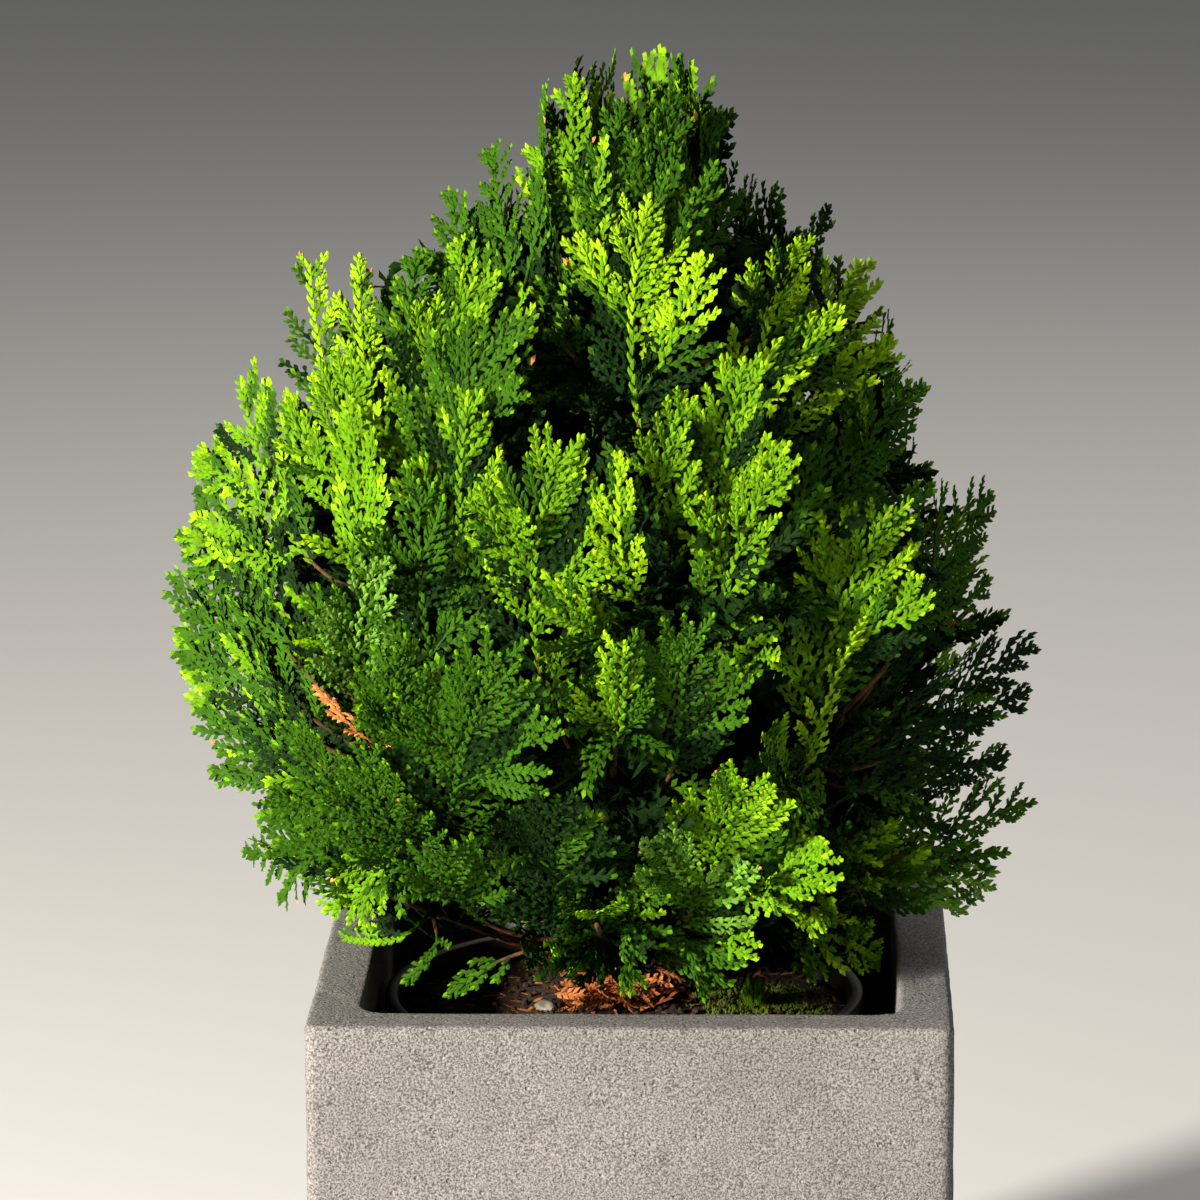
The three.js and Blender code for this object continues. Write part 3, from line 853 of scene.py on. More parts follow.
def tube_arrays(path, radii, sides, slots):
    """A thin closed twig along a path, as arrays of points, triangles and slots."""
    headings = np.gradient(path, axis=0)
    headings /= np.linalg.norm(headings, axis=1)[:, None]
    aside = np.cross(headings, UP + 0.01)
    aside /= np.linalg.norm(aside, axis=1)[:, None]
    over = np.cross(aside, headings)
    angles = np.arange(sides) * 2 * math.pi / sides
    rings = [
        point + radius * (np.outer(np.cos(angles), across) + np.outer(np.sin(angles), above))
        for point, radius, across, above in zip(path, radii, aside, over)
    ]
    points = np.vstack([*rings, path[:1], path[-1:]])
    faces, kinds = [], []
    for i in range(len(path) - 1):
        for k in range(sides):
            a, b = i * sides + k, i * sides + (k + 1) % sides
            faces += [(a, a + sides, b), (b, a + sides, b + sides)]
            kinds += [slots[i], slots[i]]
    start, end, last = len(points) - 2, len(points) - 1, (len(path) - 1) * sides
    for k in range(sides):
        after = (k + 1) % sides
        faces += [(k, after, start), (last + after, last + k, end)]
        kinds += [slots[0], slots[-1]]
    return points, np.array(faces), np.array(kinds)


# Materials.


def add_node(tree, kind, inputs=None, **settings):
    """Adds a node with its settings, and its inputs as values or as sockets to link."""
    made = tree.nodes.new(kind)
    for name, value in settings.items():
        setattr(made, name, value)
    for name, value in (inputs or {}).items():
        if isinstance(value, bpy.types.NodeSocket):
            tree.links.new(value, made.inputs[name])
        else:
            made.inputs[name].default_value = value
    return made


def shader_inputs(material):
    return material.node_tree.nodes["Principled BSDF"].inputs


def new_material(name, roughness, specular=0.5):
    material = bpy.data.materials.new(name)
    material.use_nodes = True
    shader_inputs(material)["Roughness"].default_value = roughness
    shader_inputs(material)["Specular IOR Level"].default_value = specular
    return material, material.node_tree


def object_place(tree):
    return add_node(tree, "ShaderNodeTexCoord").outputs["Object"]


def finished(material, tone, relief):
    """The material, with its pattern of colour and its relief linked to the shader."""
    material.node_tree.links.new(tone, shader_inputs(material)["Base Color"])
    material.node_tree.links.new(relief, shader_inputs(material)["Normal"])
    return material


def per_size(size):
    """The scale of a pattern whose features are a size in millimetres."""
    return 1 / (size * MM)


def opaque(colour):
    return (*colour[:3], 1)


def shade(colour, factor):
    return tuple(channel * factor for channel in colour[:3])


def ramp_between(tree, factor, low, high, start, end):
    """A colour ramp from one colour to another over part of the range of a pattern."""
    made = add_node(tree, "ShaderNodeValToRGB", {"Fac": factor})
    made.color_ramp.elements[0].position = start
    made.color_ramp.elements[0].color = opaque(low)
    made.color_ramp.elements[1].position = end
    made.color_ramp.elements[1].color = opaque(high)
    return made.outputs["Color"]


def noise_pattern(tree, place, size, detail=4, roughness=0.6):
    settings = {"Vector": place, "Scale": per_size(size), "Detail": detail, "Roughness": roughness}
    return add_node(tree, "ShaderNodeTexNoise", settings).outputs["Fac"]


def glazed(tree, under, over):
    """One pattern of colour through another, as through a glaze."""
    inputs = {0: 1.0, 6: under, 7: over}
    mixed = add_node(tree, "ShaderNodeMix", inputs, data_type="RGBA", blend_type="MULTIPLY")
    return mixed.outputs[2]


def bump(tree, height, depth, strength=1.0, under=None):
    """A bump whose relief is a depth in millimetres."""
    settings = {"Height": height, "Distance": depth * MM, "Strength": strength}
    if under is not None:
        settings["Normal"] = under
    return add_node(tree, "ShaderNodeBump", settings).outputs["Normal"]


def cast_fibre_cement(colour):
    """Cast fibre cement, lightly sanded: dead matt, with a salt and pepper of fine sand grains,
    small open air holes, and slow cloudy changes of tone. The grains and the holes are drawn coarser
    than life, so that they show."""
    material, tree = new_material("cast_fibre_cement", 0.92, 0.25)
    place = object_place(tree)
    grain = noise_pattern(tree, place, 1.05, 3, 0.75)
    cloud = noise_pattern(tree, place, 60, 3)
    speckle = ramp_between(tree, grain, shade(colour, 0.36), shade(colour, 1.72), 0.39, 0.61)
    dull = ramp_between(tree, cloud, (0.9, 0.9, 0.9), (1.06, 1.06, 1.06), 0.35, 0.65)
    cells = add_node(tree, "ShaderNodeTexVoronoi", {"Vector": place, "Scale": per_size(5.5)})
    hole = add_node(tree, "ShaderNodeMapRange", {"Value": cells.outputs["Distance"], 1: 0.08, 2: 0.2})
    sand = bump(tree, grain, 0.5)
    return finished(material, glazed(tree, speckle, dull), bump(tree, hole.outputs[0], 0.5, under=sand))


def moulded_plastic(colour):
    """Recycled polypropylene, injection moulded: near black with a dull sheen and a faint scuff."""
    material, tree = new_material("moulded_polypropylene", 0.48)
    place = object_place(tree)
    dust = noise_pattern(tree, place, 14, 5)
    tone = ramp_between(tree, dust, colour, shade(colour, 2.6), 0.45, 0.75)
    return finished(material, tone, bump(tree, noise_pattern(tree, place, 1.8), 0.08))


def peaty_compost(colour):
    """Moist peat and bark compost: crumbly, nearly black, with paler dry fibres."""
    material, tree = new_material("peaty_compost", 0.95, 0.3)
    crumb = noise_pattern(tree, object_place(tree), 4, 6, 0.75)
    tone = ramp_between(tree, crumb, shade(colour, 0.5), shade(colour, 2.4), 0.35, 0.72)
    return finished(material, tone, bump(tree, crumb, 2.2))


def fibrous_bark(name, colour, fissure):
    """Thin stringy bark: dry and matt, red-brown where it has peeled and grey in the old strips."""
    material, tree = new_material(name, 0.88, 0.3)
    place = object_place(tree)
    along = add_node(tree, "ShaderNodeMapping", {"Vector": place, "Scale": (1, 1, 0.22)}).outputs[0]
    strips = noise_pattern(tree, along, 3.2, 5, 0.7)
    patches = noise_pattern(tree, place, 22, 3)
    strip_tone = ramp_between(tree, strips, shade(colour, 0.34), shade(colour, 1.5), 0.36, 0.66)
    patch_tone = ramp_between(tree, patches, (0.75, 0.8, 0.86), (1.15, 1.0, 0.92), 0.4, 0.62)
    return finished(material, glazed(tree, strip_tone, patch_tone), bump(tree, strips, fissure))


def scale_leaves(name, colour):
    """Tight overlapping scale leaves: waxy but nearly matt, each scale a little raised. The scales are
    drawn coarser than life, so that they show."""
    material, tree = new_material(name, 0.66, 0.06)
    place = object_place(tree)
    scales = add_node(tree, "ShaderNodeTexVoronoi", {"Vector": place, "Scale": per_size(2.2)})
    drift = noise_pattern(tree, place, 9, 2)
    tone = ramp_between(tree, drift, shade(colour, 0.72), shade(colour, 1.22), 0.35, 0.65)
    return finished(material, tone, bump(tree, scales.outputs["Distance"], 0.7, 0.8))


def dry_matter(name, colour):
    """Dead sprays, bark flakes, moss and grit on the compost: dry, brittle and quite matt."""
    material, tree = new_material(name, 0.9, 0.25)
    place = object_place(tree)
    drift = noise_pattern(tree, place, 5, 3)
    tone = ramp_between(tree, drift, shade(colour, 0.6), shade(colour, 1.35), 0.35, 0.65)
    return finished(material, tone, bump(tree, noise_pattern(tree, place, 1.2), 0.25))


# The sizes and colours that a user may change.


def length(name, default, description):
    return FloatProperty(name=name, description=description, default=default, unit="LENGTH")


def colour(name, code, description):
    return FloatVectorProperty(
        name=name, description=description, default=linear(code), subtype="COLOR", min=0, max=1
    )


class CypressSizes(bpy.types.PropertyGroup):
    """Sizes of the shrub and its pots."""

    edge_radius: length("Planter edge", 0.0028, "Radius of the planter's worn edges")
    corner_radius: length("Planter corner", 0.006, "Radius of the planter's upright corners")
    mouth_radius: length("Mouth corner", 0.013, "Radius of the corners of the planter's mouth")
    edge_wear: length("Edge wear", 0.0005, "How far the cast edges stray from a straight line")
    pot_wall: length("Pot wall", 0.002, "Thickness of the grow pot's wall")
    lip_width: length("Pot lip", 0.004, "How far the grow pot's lip stands out")
    lobe_width: length("Lobe width", 0.0022, "Width of the blunt lobes of scale leaves")
    lobe_length: length("Lobe length", 0.0031, "Length of the blunt lobes of scale leaves")
    spray_length: length("Spray length", 0.04, "Length of a full-grown side spray")
    twig_radius: length("Twig radius", 0.0016, "Radius of a frond's twig where it leaves its stem")
    spray_kinds: IntProperty(
        name="Spray kinds", description="How many different sprays are dealt out", default=6, min=1
    )
    litter: IntProperty(
        name="Litter", description="How many crumbs and dead flakes lie on the compost", default=1300
    )


class CypressColours(bpy.types.PropertyGroup):
    """Colours of the shrub and its pots."""

    cement: colour("Fibre cement", "6B6866", "Warm grey of the cast planter")
    plastic: colour("Grow pot", "221D1B", "Near black of the grow pot")
    compost: colour("Compost", "2A1D12", "Moist compost")
    bark: colour("Bark", "8A4C26", "Red-brown bark of the limbs")
    young_bark: colour("Young bark", "4A3014", "Brown bark of the twigs")
    # The deep green is a painted shade: it darkens the leaves inside the crown and the fronds in shade.
    deep: colour("Deep green", "0C2203", "Leaves inside the crown")
    green: colour("Green", "284A04", "Leaves near the foot of a spray")
    mid: colour("Mid green", "4E7605", "Most of the leaves")
    bright: colour("Bright green", "749A0A", "Leaves of the outer sprays")
    fresh: colour("Fresh tips", "8CB01C", "Yellow-green growing tips")
    glaucous: colour("Glaucous green", "567E26", "The blue-green undersides of a few sprays")
    cone: colour("Orange tips", "B8763C", "Spent pollen cones and dead tips")
    litter: colour("Dead sprays", "9A5A2E", "Orange-brown dead sprays on the compost")
    moss: colour("Moss", "4A5A10", "Moss on the compost")
    stone: colour("Stone", "8C8272", "A small stone on the compost")
    floor: colour("Floor", "CDCBC8", "Plain pale studio floor")


class CypressStage(bpy.types.PropertyGroup):
    """The camera and the lights."""

    camera_place: FloatVectorProperty(
        name="Camera", description="Where the camera stands",
        default=(0.0719, -2.8723, 1.1164), subtype="TRANSLATION", unit="LENGTH",
    )
    camera_turn: FloatVectorProperty(
        name="Camera angles", description="Turn to the left, tilt down and roll of the camera",
        default=tuple(math.radians(angle) for angle in (1.77, 12.71, -0.28)), subtype="EULER",
    )
    lens: FloatProperty(
        name="Focal length", description="Focal length on a 36 mm wide sensor", default=184.8
    )
    key_power: FloatProperty(
        name="Key light", description="Power of the large key light", default=348, unit="POWER"
    )
    fill_power: FloatProperty(
        name="Fill light", description="Power of the wide fill light", default=8, unit="POWER"
    )
    sky: FloatProperty(name="Room light", description="Strength of the even light", default=0.14)


# The planter, its grow pot and the compost.


# The steps of a round corner, and the spacing of points along a worn edge.
CORNER_STEPS = 6
WEAR_SPACING = 30


def rounded_loop(mesh, half, radius, height):
    """A square loop of edges with round corners, level at a height."""
    verts = []
    for corner in range(4):
        x = (half - radius) * (1 if corner in (0, 3) else -1)
        y = (half - radius) * (1 if corner < 2 else -1)
        for step in range(CORNER_STEPS + 1):
            angle = math.pi / 2 * (corner + step / CORNER_STEPS)
            point = (x + radius * math.cos(angle), y + radius * math.sin(angle), height)
            verts.append(mesh.verts.new(point))
    return [mesh.edges.new(pair) for pair in zip(verts, verts[1:] + verts[:1])]


def round_edges(mesh, edges, radius):
    bmesh.ops.bevel(
        mesh, geom=edges, offset=radius, offset_type="OFFSET", segments=4,
        profile=0.5, affect="EDGES", material=-1, clamp_overlap=True,
    )


def wear_edges(mesh, depth):
    """Splits the long straight runs, and lets the surface stray by a depth, as cast edges do."""
    for _ in range(2):
        long = [edge for edge in mesh.edges if edge.calc_length() > WEAR_SPACING]
        bmesh.ops.subdivide_edges(mesh, edges=long, cuts=7, use_grid_fill=True)
    mesh.normal_update()
    for vert in mesh.verts:
        slow = noise.noise(vert.co / 21)
        quick = noise.noise(vert.co / 5 + Vector((9, 3, 7)))
        chip = max(0, noise.noise(vert.co / 9 + Vector((3, 8, 1))) - 0.42)
        vert.co += vert.normal * depth * (0.6 * slow + 0.4 * quick - 5 * chip)


class CYPRESS_OT_planter(bpy.types.Operator):
    """Cast the square fibre cement planter, hollow down to its floor"""

    bl_idname = "cypress.planter"
    bl_label = "Planter"

    def execute(self, context):
        sizes, colours = context.scene.cypress_sizes, context.scene.cypress_colours
        mesh = bmesh.new()
        corner, mouth = sizes.corner_radius / MM, sizes.mouth_radius / MM
        inner = HALF_SIDE - PLANTER_WALL
        foot = rounded_loop(mesh, HALF_SIDE, corner, 0)
        brim = rounded_loop(mesh, HALF_SIDE, corner, RIM)
        lip = rounded_loop(mesh, inner, mouth, RIM)
        floor = rounded_loop(mesh, inner, mouth, PLANTER_WALL)
        for low, high in ((foot, brim), (brim, lip), (lip, floor)):
            bmesh.ops.bridge_loops(mesh, edges=low + high)
        bmesh.ops.contextual_create(mesh, geom=foot)
        bmesh.ops.contextual_create(mesh, geom=floor)
        bmesh.ops.recalc_face_normals(mesh, faces=mesh.faces[:])
        round_edges(mesh, foot + brim + lip, sizes.edge_radius / MM)
        wear_edges(mesh, sizes.edge_wear / MM)
        data = finish_mesh(mesh, "planter_shell")
        cement = cast_fibre_cement(colours.cement)
        add_piece("planter_shell", data, [cement], "fibre_cement", "planter")
        return {"FINISHED"}


def turned_profile(mesh, profile, steps):
    """Spins a profile of radius and height round the grow pot's middle into a closed shape."""
    verts = [mesh.verts.new((radius, 0, height)) for radius, height in profile]
    edges = [mesh.edges.new(pair) for pair in zip(verts, verts[1:])]
    bmesh.ops.spin(
        mesh, geom=verts + edges, cent=(0, 0, 0), axis=(0, 0, 1), angle=2 * math.pi,
        steps=steps, use_merge=True, use_duplicate=False,
    )
    bmesh.ops.remove_doubles(mesh, verts=mesh.verts[:], dist=0.001)
    bmesh.ops.recalc_face_normals(mesh, faces=mesh.faces[:])
    bmesh.ops.translate(mesh, vec=(POT_CENTRE_X, 0, 0), verts=mesh.verts[:])


class CYPRESS_OT_grow_pot(bpy.types.Operator):
    """Turn the thin black grow pot that stands inside the planter"""

    bl_idname = "cypress.grow_pot"
    bl_label = "Grow pot"

    def execute(self, context):
        sizes, colours = context.scene.cypress_sizes, context.scene.cypress_colours
        wall, lip = sizes.pot_wall / MM, sizes.lip_width / MM
        low, top = pot_low.z / MM, pot_high.z / MM
        rim, body, base = POT_RIM_RADIUS, POT_RIM_RADIUS - lip, POT_RIM_RADIUS - 26
        profile = [
            (0, low), (base - 3, low), (base, low + 3), (body - 0.6, top - 11), (body, top - 10.2),
            (rim - 0.8, top - 10), (rim, top - 9), (rim, top - 1), (rim - 0.8, top),
            (body - wall + 1, top), (body - wall, top - 0.8), (body - wall, top - 10),
            (base - wall, low + wall + 2), (base - wall - 3, low + wall), (0, low + wall),
        ]
        mesh = bmesh.new()
        turned_profile(mesh, profile, 96)
        data = finish_mesh(mesh, "pot_shell")
        add_piece("pot_shell", data, [moulded_plastic(colours.plastic)], "pot_plastic", "grow_pot")
        return {"FINISHED"}


# The compost: its depth at the pot's wall, the radii between which its mound falls, how far its bed
# keeps inside the pot's rim, how thick that is and how many rings it has, how far out it is strewn,
# and how far from the middle of the trunk.
FILL_DEPTH = 236
MOUND_RADII = (0, 34, 86, 112)
BED_INSET = 6.6
BED_THICKNESS = 30
BED_RINGS = 34
STREWN_RADIUS = 106
TRUNK_CLEAR = 16

# What is strewn on it: below which number a kind is picked, its slot, its size, and how flat it lies.
# The first are bits of dead sprays, the next flakes of bark, and the last crumbs of peat.
Strewn = namedtuple("Strewn", "below slot size flat")
DEAD_SLOT = 1
STREWN = (
    Strewn(0.22, DEAD_SLOT, (7.5, 2.4, 1.1), 0.3),
    Strewn(0.34, 2, (7.5, 2.4, 1.1), 0.3),
    Strewn(1, 0, (3.4, 2.6, 2.2), 1),
)

# The heap of dead sprays before the trunk: its middle and spread across and in depth, its height,
# and how many sprays lie in it.
HEAP = ((-16, 27), (-16, 16))
HEAP_HEIGHT = 15
FALLEN_SPRAYS = 120

# The moss on the right, and the taller tuft in it: the middle and spread of each across and in depth,
# how upright its leaves are, how thick, how long at least, and how much longer at most.
Moss = namedtuple("Moss", "slot across deep upright thick least more")
CUSHION = Moss(0, (60, 36), (0, 40), 0.9, 1, 1.6, 2.2)
TUFT = Moss(1, (57, 5), (-6, 5), 2.4, 1.5, 7, 9)
MOSS_LEAVES = 1900
TUFT_EVERY = 16

# The stone's place across and in depth, and its size.
STONE_PLACE = (-43, -22)
STONE_SIZE = (11, 8, 7)


def compost_height(radius):
    """The compost's surface: a low mound round the trunk that falls to the pot's wall."""
    edge = compost_low.z / MM + FILL_DEPTH
    return float(np.interp(radius, MOUND_RADII, (GROUND, GROUND, edge + 3, edge)))


def on_compost(x, y, sink=0.0):
    radius = math.hypot(x - POT_CENTRE_X, y)
    rough = 2.2 * noise.noise(Vector((x, y, 0)) / 11) + 0.9 * noise.noise(Vector((x, y, 5)) / 4)
    return compost_height(radius) + rough - sink


def random_turn(random):
    """A random turn as a matrix of rows."""
    axis = unit(stray_vector(random) + 0.01)
    angle = 2 * math.pi * next(random)
    return np.array([turned_about(row, axis, angle) for row in np.eye(3)])


class CYPRESS_OT_compost(bpy.types.Operator):
    """Fill the grow pot with crumbly compost, and strew it with litter, moss and a stone"""

    bl_idname = "cypress.compost"
    bl_label = "Compost"

    def execute(self, context):
        colours = context.scene.cypress_colours
        self.add_bed(colours)
        self.add_litter(context, colours)
        self.add_moss(colours)
        self.add_stone(colours)
        return {"FINISHED"}

    def add_bed(self, colours):
        mesh = bmesh.new()
        outer = POT_RIM_RADIUS - BED_INSET
        foot = compost_high.z / MM - BED_THICKNESS
        radii = [outer * k / BED_RINGS for k in range(BED_RINGS, -1, -1)]
        surface = [(radius, compost_height(radius)) for radius in radii]
        turned_profile(mesh, [(0, foot), (outer - 3, foot), *surface], 110)
        for vert in mesh.verts:
            if vert.co.z > foot + 1:
                vert.co.z = on_compost(vert.co.x, vert.co.y)
        data = finish_mesh(mesh, "compost_bed")
        add_piece("compost_bed", data, [peaty_compost(colours.compost)], "compost", "compost")

    def add_litter(self, context, colours):
        random = seeded("crumb")
        mesh = bmesh.new()
        bmesh.ops.create_icosphere(mesh, subdivisions=1, radius=0.5)
        lump, faces = mesh_arrays(mesh)
        trunk_x, trunk_y, _ = trunk_at(GROUND)
        parts = []
        for _ in range(context.scene.cypress_sizes.litter):
            angle, radius = 2 * math.pi * next(random), STREWN_RADIUS * math.sqrt(next(random))
            x, y = POT_CENTRE_X + radius * math.cos(angle), radius * math.sin(angle)
            if math.hypot(x - trunk_x, y - trunk_y) < TRUNK_CLEAR:
                continue
            pick = next(random)
            kind = next(kind for kind in STREWN if pick < kind.below)
            size = np.array(kind.size) * (0.5 + next(random))
            turn = random_turn(random) * (1, 1, kind.flat)
            place = np.array([x, y, on_compost(x, y, -0.6)])
            parts.append((lump * size @ turn + place, faces, np.full(len(faces), kind.slot)))
        fallen = [make_spray(KITE, 16, Grain(2, 3.4, 3.8), seeded("fallen", k)) for k in range(3)]
        for i in range(FALLEN_SPRAYS):
            spray = fallen[i % len(fallen)]
            x, y = (heaped(random, middle, spread) for middle, spread in HEAP)
            place = np.array([x, y, on_compost(x, y, 1 - HEAP_HEIGHT * next(random) ** 2)])
            turn = random_turn(random)
            heading = unit(turn[0] * (1, 1, 0.4))
            facing = squared_to(turn[2], heading)
            scale, bend, curl = 0.6 + next(random) * 0.6, stray(random, 0.8), stray(random, 0.4)
            item = Instance(spray, place, heading, facing, scale, bend, 0.5, curl, 0)
            parts.append((bent_points(item), spray.faces, np.full(len(spray.faces), DEAD_SLOT)))
        data = arrays_to_mesh("compost_litter", *join_arrays(parts), smooth=False)
        materials = [
            dry_matter("peat_crumbs", colours.compost),
            dry_matter("dead_sprays", colours.litter),
            dry_matter("bark_flakes", colours.young_bark),
        ]
        add_piece("compost_litter", data, materials, "compost")

    def add_moss(self, colours):
        random = seeded("moss")
        leaf, faces = hull_shape(KITE)
        parts = []
        for i in range(MOSS_LEAVES):
            kind = CUSHION if i % TUFT_EVERY else TUFT
            x, y = heaped(random, *kind.across), heaped(random, *kind.deep)
            if math.hypot(x - POT_CENTRE_X, y) > STREWN_RADIUS:
                continue
            heading = unit(np.array([stray(random, 1), stray(random, 1), kind.upright]))
            side = unit(np.cross(heading, (0.3, 1, 0.1)))
            reach = kind.least + kind.more * next(random)
            front = np.cross(side, heading)
            rows = np.array([side * kind.thick, heading * reach, front * kind.thick])
            place = np.array([x, y, on_compost(x, y, 0.5)])
            parts.append((leaf @ rows + place, faces, np.full(len(faces), kind.slot)))
        data = arrays_to_mesh("compost_moss", *join_arrays(parts), smooth=False)
        materials = [dry_matter("cushion_moss", colours.moss), scale_leaves("moss_tuft", colours.mid)]
        add_piece("compost_moss", data, materials, "compost")

    def add_stone(self, colours):
        mesh = bmesh.new()
        bmesh.ops.create_icosphere(mesh, subdivisions=3, radius=0.5)
        for vert in mesh.verts:
            vert.co *= 1 + 0.35 * noise.noise(vert.co * 2.3)
        bmesh.ops.scale(mesh, vec=STONE_SIZE, verts=mesh.verts[:])
        place = (*STONE_PLACE, on_compost(*STONE_PLACE, -1))
        bmesh.ops.translate(mesh, vec=place, verts=mesh.verts[:])
        data = finish_mesh(mesh, "pebble")
        add_piece("pebble", data, [dry_matter("pale_pebble", colours.stone)], "compost")


# The trunk, the boughs, the twigs and the sprays.

# How many steps and sides the trunk and a bough have, the points of a mass's stem, and the radii at
# the end of a stem and of a twig.
TRUNK_STEPS, TRUNK_SIDES = 90, 30
BOUGH_STEPS, BOUGH_SIDES = 34, 14
STEM_POINTS = 14
STEM_TIP_RADIUS = 1.2
TWIG_TIP_RADIUS = 0.6


class CYPRESS_OT_limbs(bpy.types.Operator):
    """Grow the trunk and the boughs, with stringy bark in relief"""

    bl_idname = "cypress.limbs"
    bl_label = "Trunk and boughs"

    def execute(self, context):
        colours = context.scene.cypress_colours
        bark = fibrous_bark("stringy_bark", colours.bark, 0.9)
        mesh = bmesh.new()
        heights = np.linspace(GROUND, TRUNK_TOP, TRUNK_STEPS + 1)

        def trunk_radius(share):
            flare = TRUNK_FLARE * math.exp(-share / TRUNK_FLARE_SHARE)
            return TRUNK_RADIUS + (TRUNK_TIP_RADIUS - TRUNK_RADIUS) * share + flare

        sweep_limb(mesh, [trunk_at(height) for height in heights], trunk_radius, TRUNK_SIDES)
        bmesh.ops.recalc_face_normals(mesh, faces=mesh.faces[:])
        add_piece("trunk_bark", finish_mesh(mesh, "trunk_bark"), [bark], "bark", "trunk")
        mesh = bmesh.new()
        nodes = []
        for place in PLACES:
            tier = place.tier
            if tier.split == 0:
                continue
            shares = np.linspace(0, tier.split, BOUGH_STEPS + 1)

            def bough_radius(share, thick=tier.bough):
                return thick * (1 + (BOUGH_TIP_SHARE - 1) * share)

            path = [place_point(place, share) for share in shares]
            sweep_limb(mesh, path, bough_radius, BOUGH_SIDES)
            nodes.append(f"bough_{tier.name}_{place.index + 1}")
        bmesh.ops.recalc_face_normals(mesh, faces=mesh.faces[:])
        add_piece("bough_bark", finish_mesh(mesh, "bough_bark"), [bark], "bark", *nodes)
        return {"FINISHED"}


class CYPRESS_OT_twigs(bpy.types.Operator):
    """Grow the stem of each mass and the twig of every frond"""

    bl_idname = "cypress.twigs"
    bl_label = "Twigs"

    def execute(self, context):
        sizes, colours = context.scene.cypress_sizes, context.scene.cypress_colours
        parts = []
        shares = np.linspace(0, 1, STEM_POINTS)
        for place in PLACES:
            path = np.array([stem_point(place, share) for share in shares])
            thick = place.tier.bough * BOUGH_TIP_SHARE if place.tier.split else TRUNK_TIP_RADIUS
            radii = thick + (STEM_TIP_RADIUS - thick) * shares
            parts.append(tube_arrays(path, radii, 7, np.zeros(STEM_POINTS)))
        root = sizes.twig_radius / MM
        for frond in FRONDS:
            path = frond.path[: frond_end(frond) + 1]
            from_tip = np.linalg.norm(path - frond.path[-1], axis=1)
            green_share = 0.75 if len(frond.path) == PATH_POINTS else 1.1
            green = (from_tip < green_share * frond.leafy).astype(float)
            radii = root + (TWIG_TIP_RADIUS - root) * np.linspace(0, 1, len(path))
            parts.append(tube_arrays(path, radii * (1 - 0.3 * green), 4, green))
        data = arrays_to_mesh("twigs", *join_arrays(parts), smooth=True)
        materials = [
            fibrous_bark("twig_bark", colours.young_bark, 0.3),
            scale_leaves("green_twigs", colours.green),
        ]
        add_piece("twigs", data, materials, "bark")
        return {"FINISHED"}


def frond_end(frond):
    """The step of a frond's path where its end spray starts."""
    from_tip = np.linalg.norm(frond.path - frond.path[-1], axis=1)
    return max(4, int(np.argmax(from_tip < TIP_SPRAY)))


FRONDS = grow_fronds()

# The material slots of a spray's lobes by their age, the oldest first. The deep palette, nearly all in
# the darkest green, is a painted shade for sprays inside the crown and for fronds in shade.
PALETTES = {
    "deep": (0, 0, 0, 0, 1),
    "green": (0, 1, 1, 1, 2),
    "bright": (1, 2, 2, 3, 3),
    "fresh": (2, 2, 3, 3, 4),
    "glaucous": (1, 1, 5, 5, 5),
    "dead": (6, 6, 6, 6, 6),
}

# How much luck a spray needs for its palette, brightest first. It has less the deeper it sits, and less
# again on a frond deep in the crown, so that sprays further in get darker palettes: a painted shade.
LUCK_NEEDED = (("fresh", 0.82), ("bright", 0.32), ("green", -0.2), ("deep", -math.inf))
LUCK_LOST_TO_PAINTED_SHADE = 0.006
DEEP_FROND_LUCK_LOST_TO_PAINTED_SHADE = 0.6

# One in so many of the youngest lobes is a spent cone.
CONE_SLOT = 6
CONE_EVERY = 101

# The scale leaves on a frond's axis: where they start from its tip, their spacing, and their lean.
AXIS_FIRST = 12
AXIS_STEP = 3.4
AXIS_LEAN = 0.3

# The plain sprays in the shade of a mass: how many places are tried in a cube of what side round its
# heart, the shares of the crown's radius between which they stand, how many there are at most, and
# the shares of its curve at which the points of a spray's twig lie, with its radii there.
# These sprays and their twigs all take the deep green, a painted shade.
CORE_TRIES = 900
CORE_CUBE = 170
CORE_SHARES = (0.12, 0.7)
CORE_SPRAYS = 84
CORE_TWIG_SHARES = (0, 0.33, 0.66, 1)
CORE_TWIG_RADII = (0.9, 0.8, 0.7, 0.6)

# The most triangles that are joined in one piece.
PIECE_LIMIT = 190000


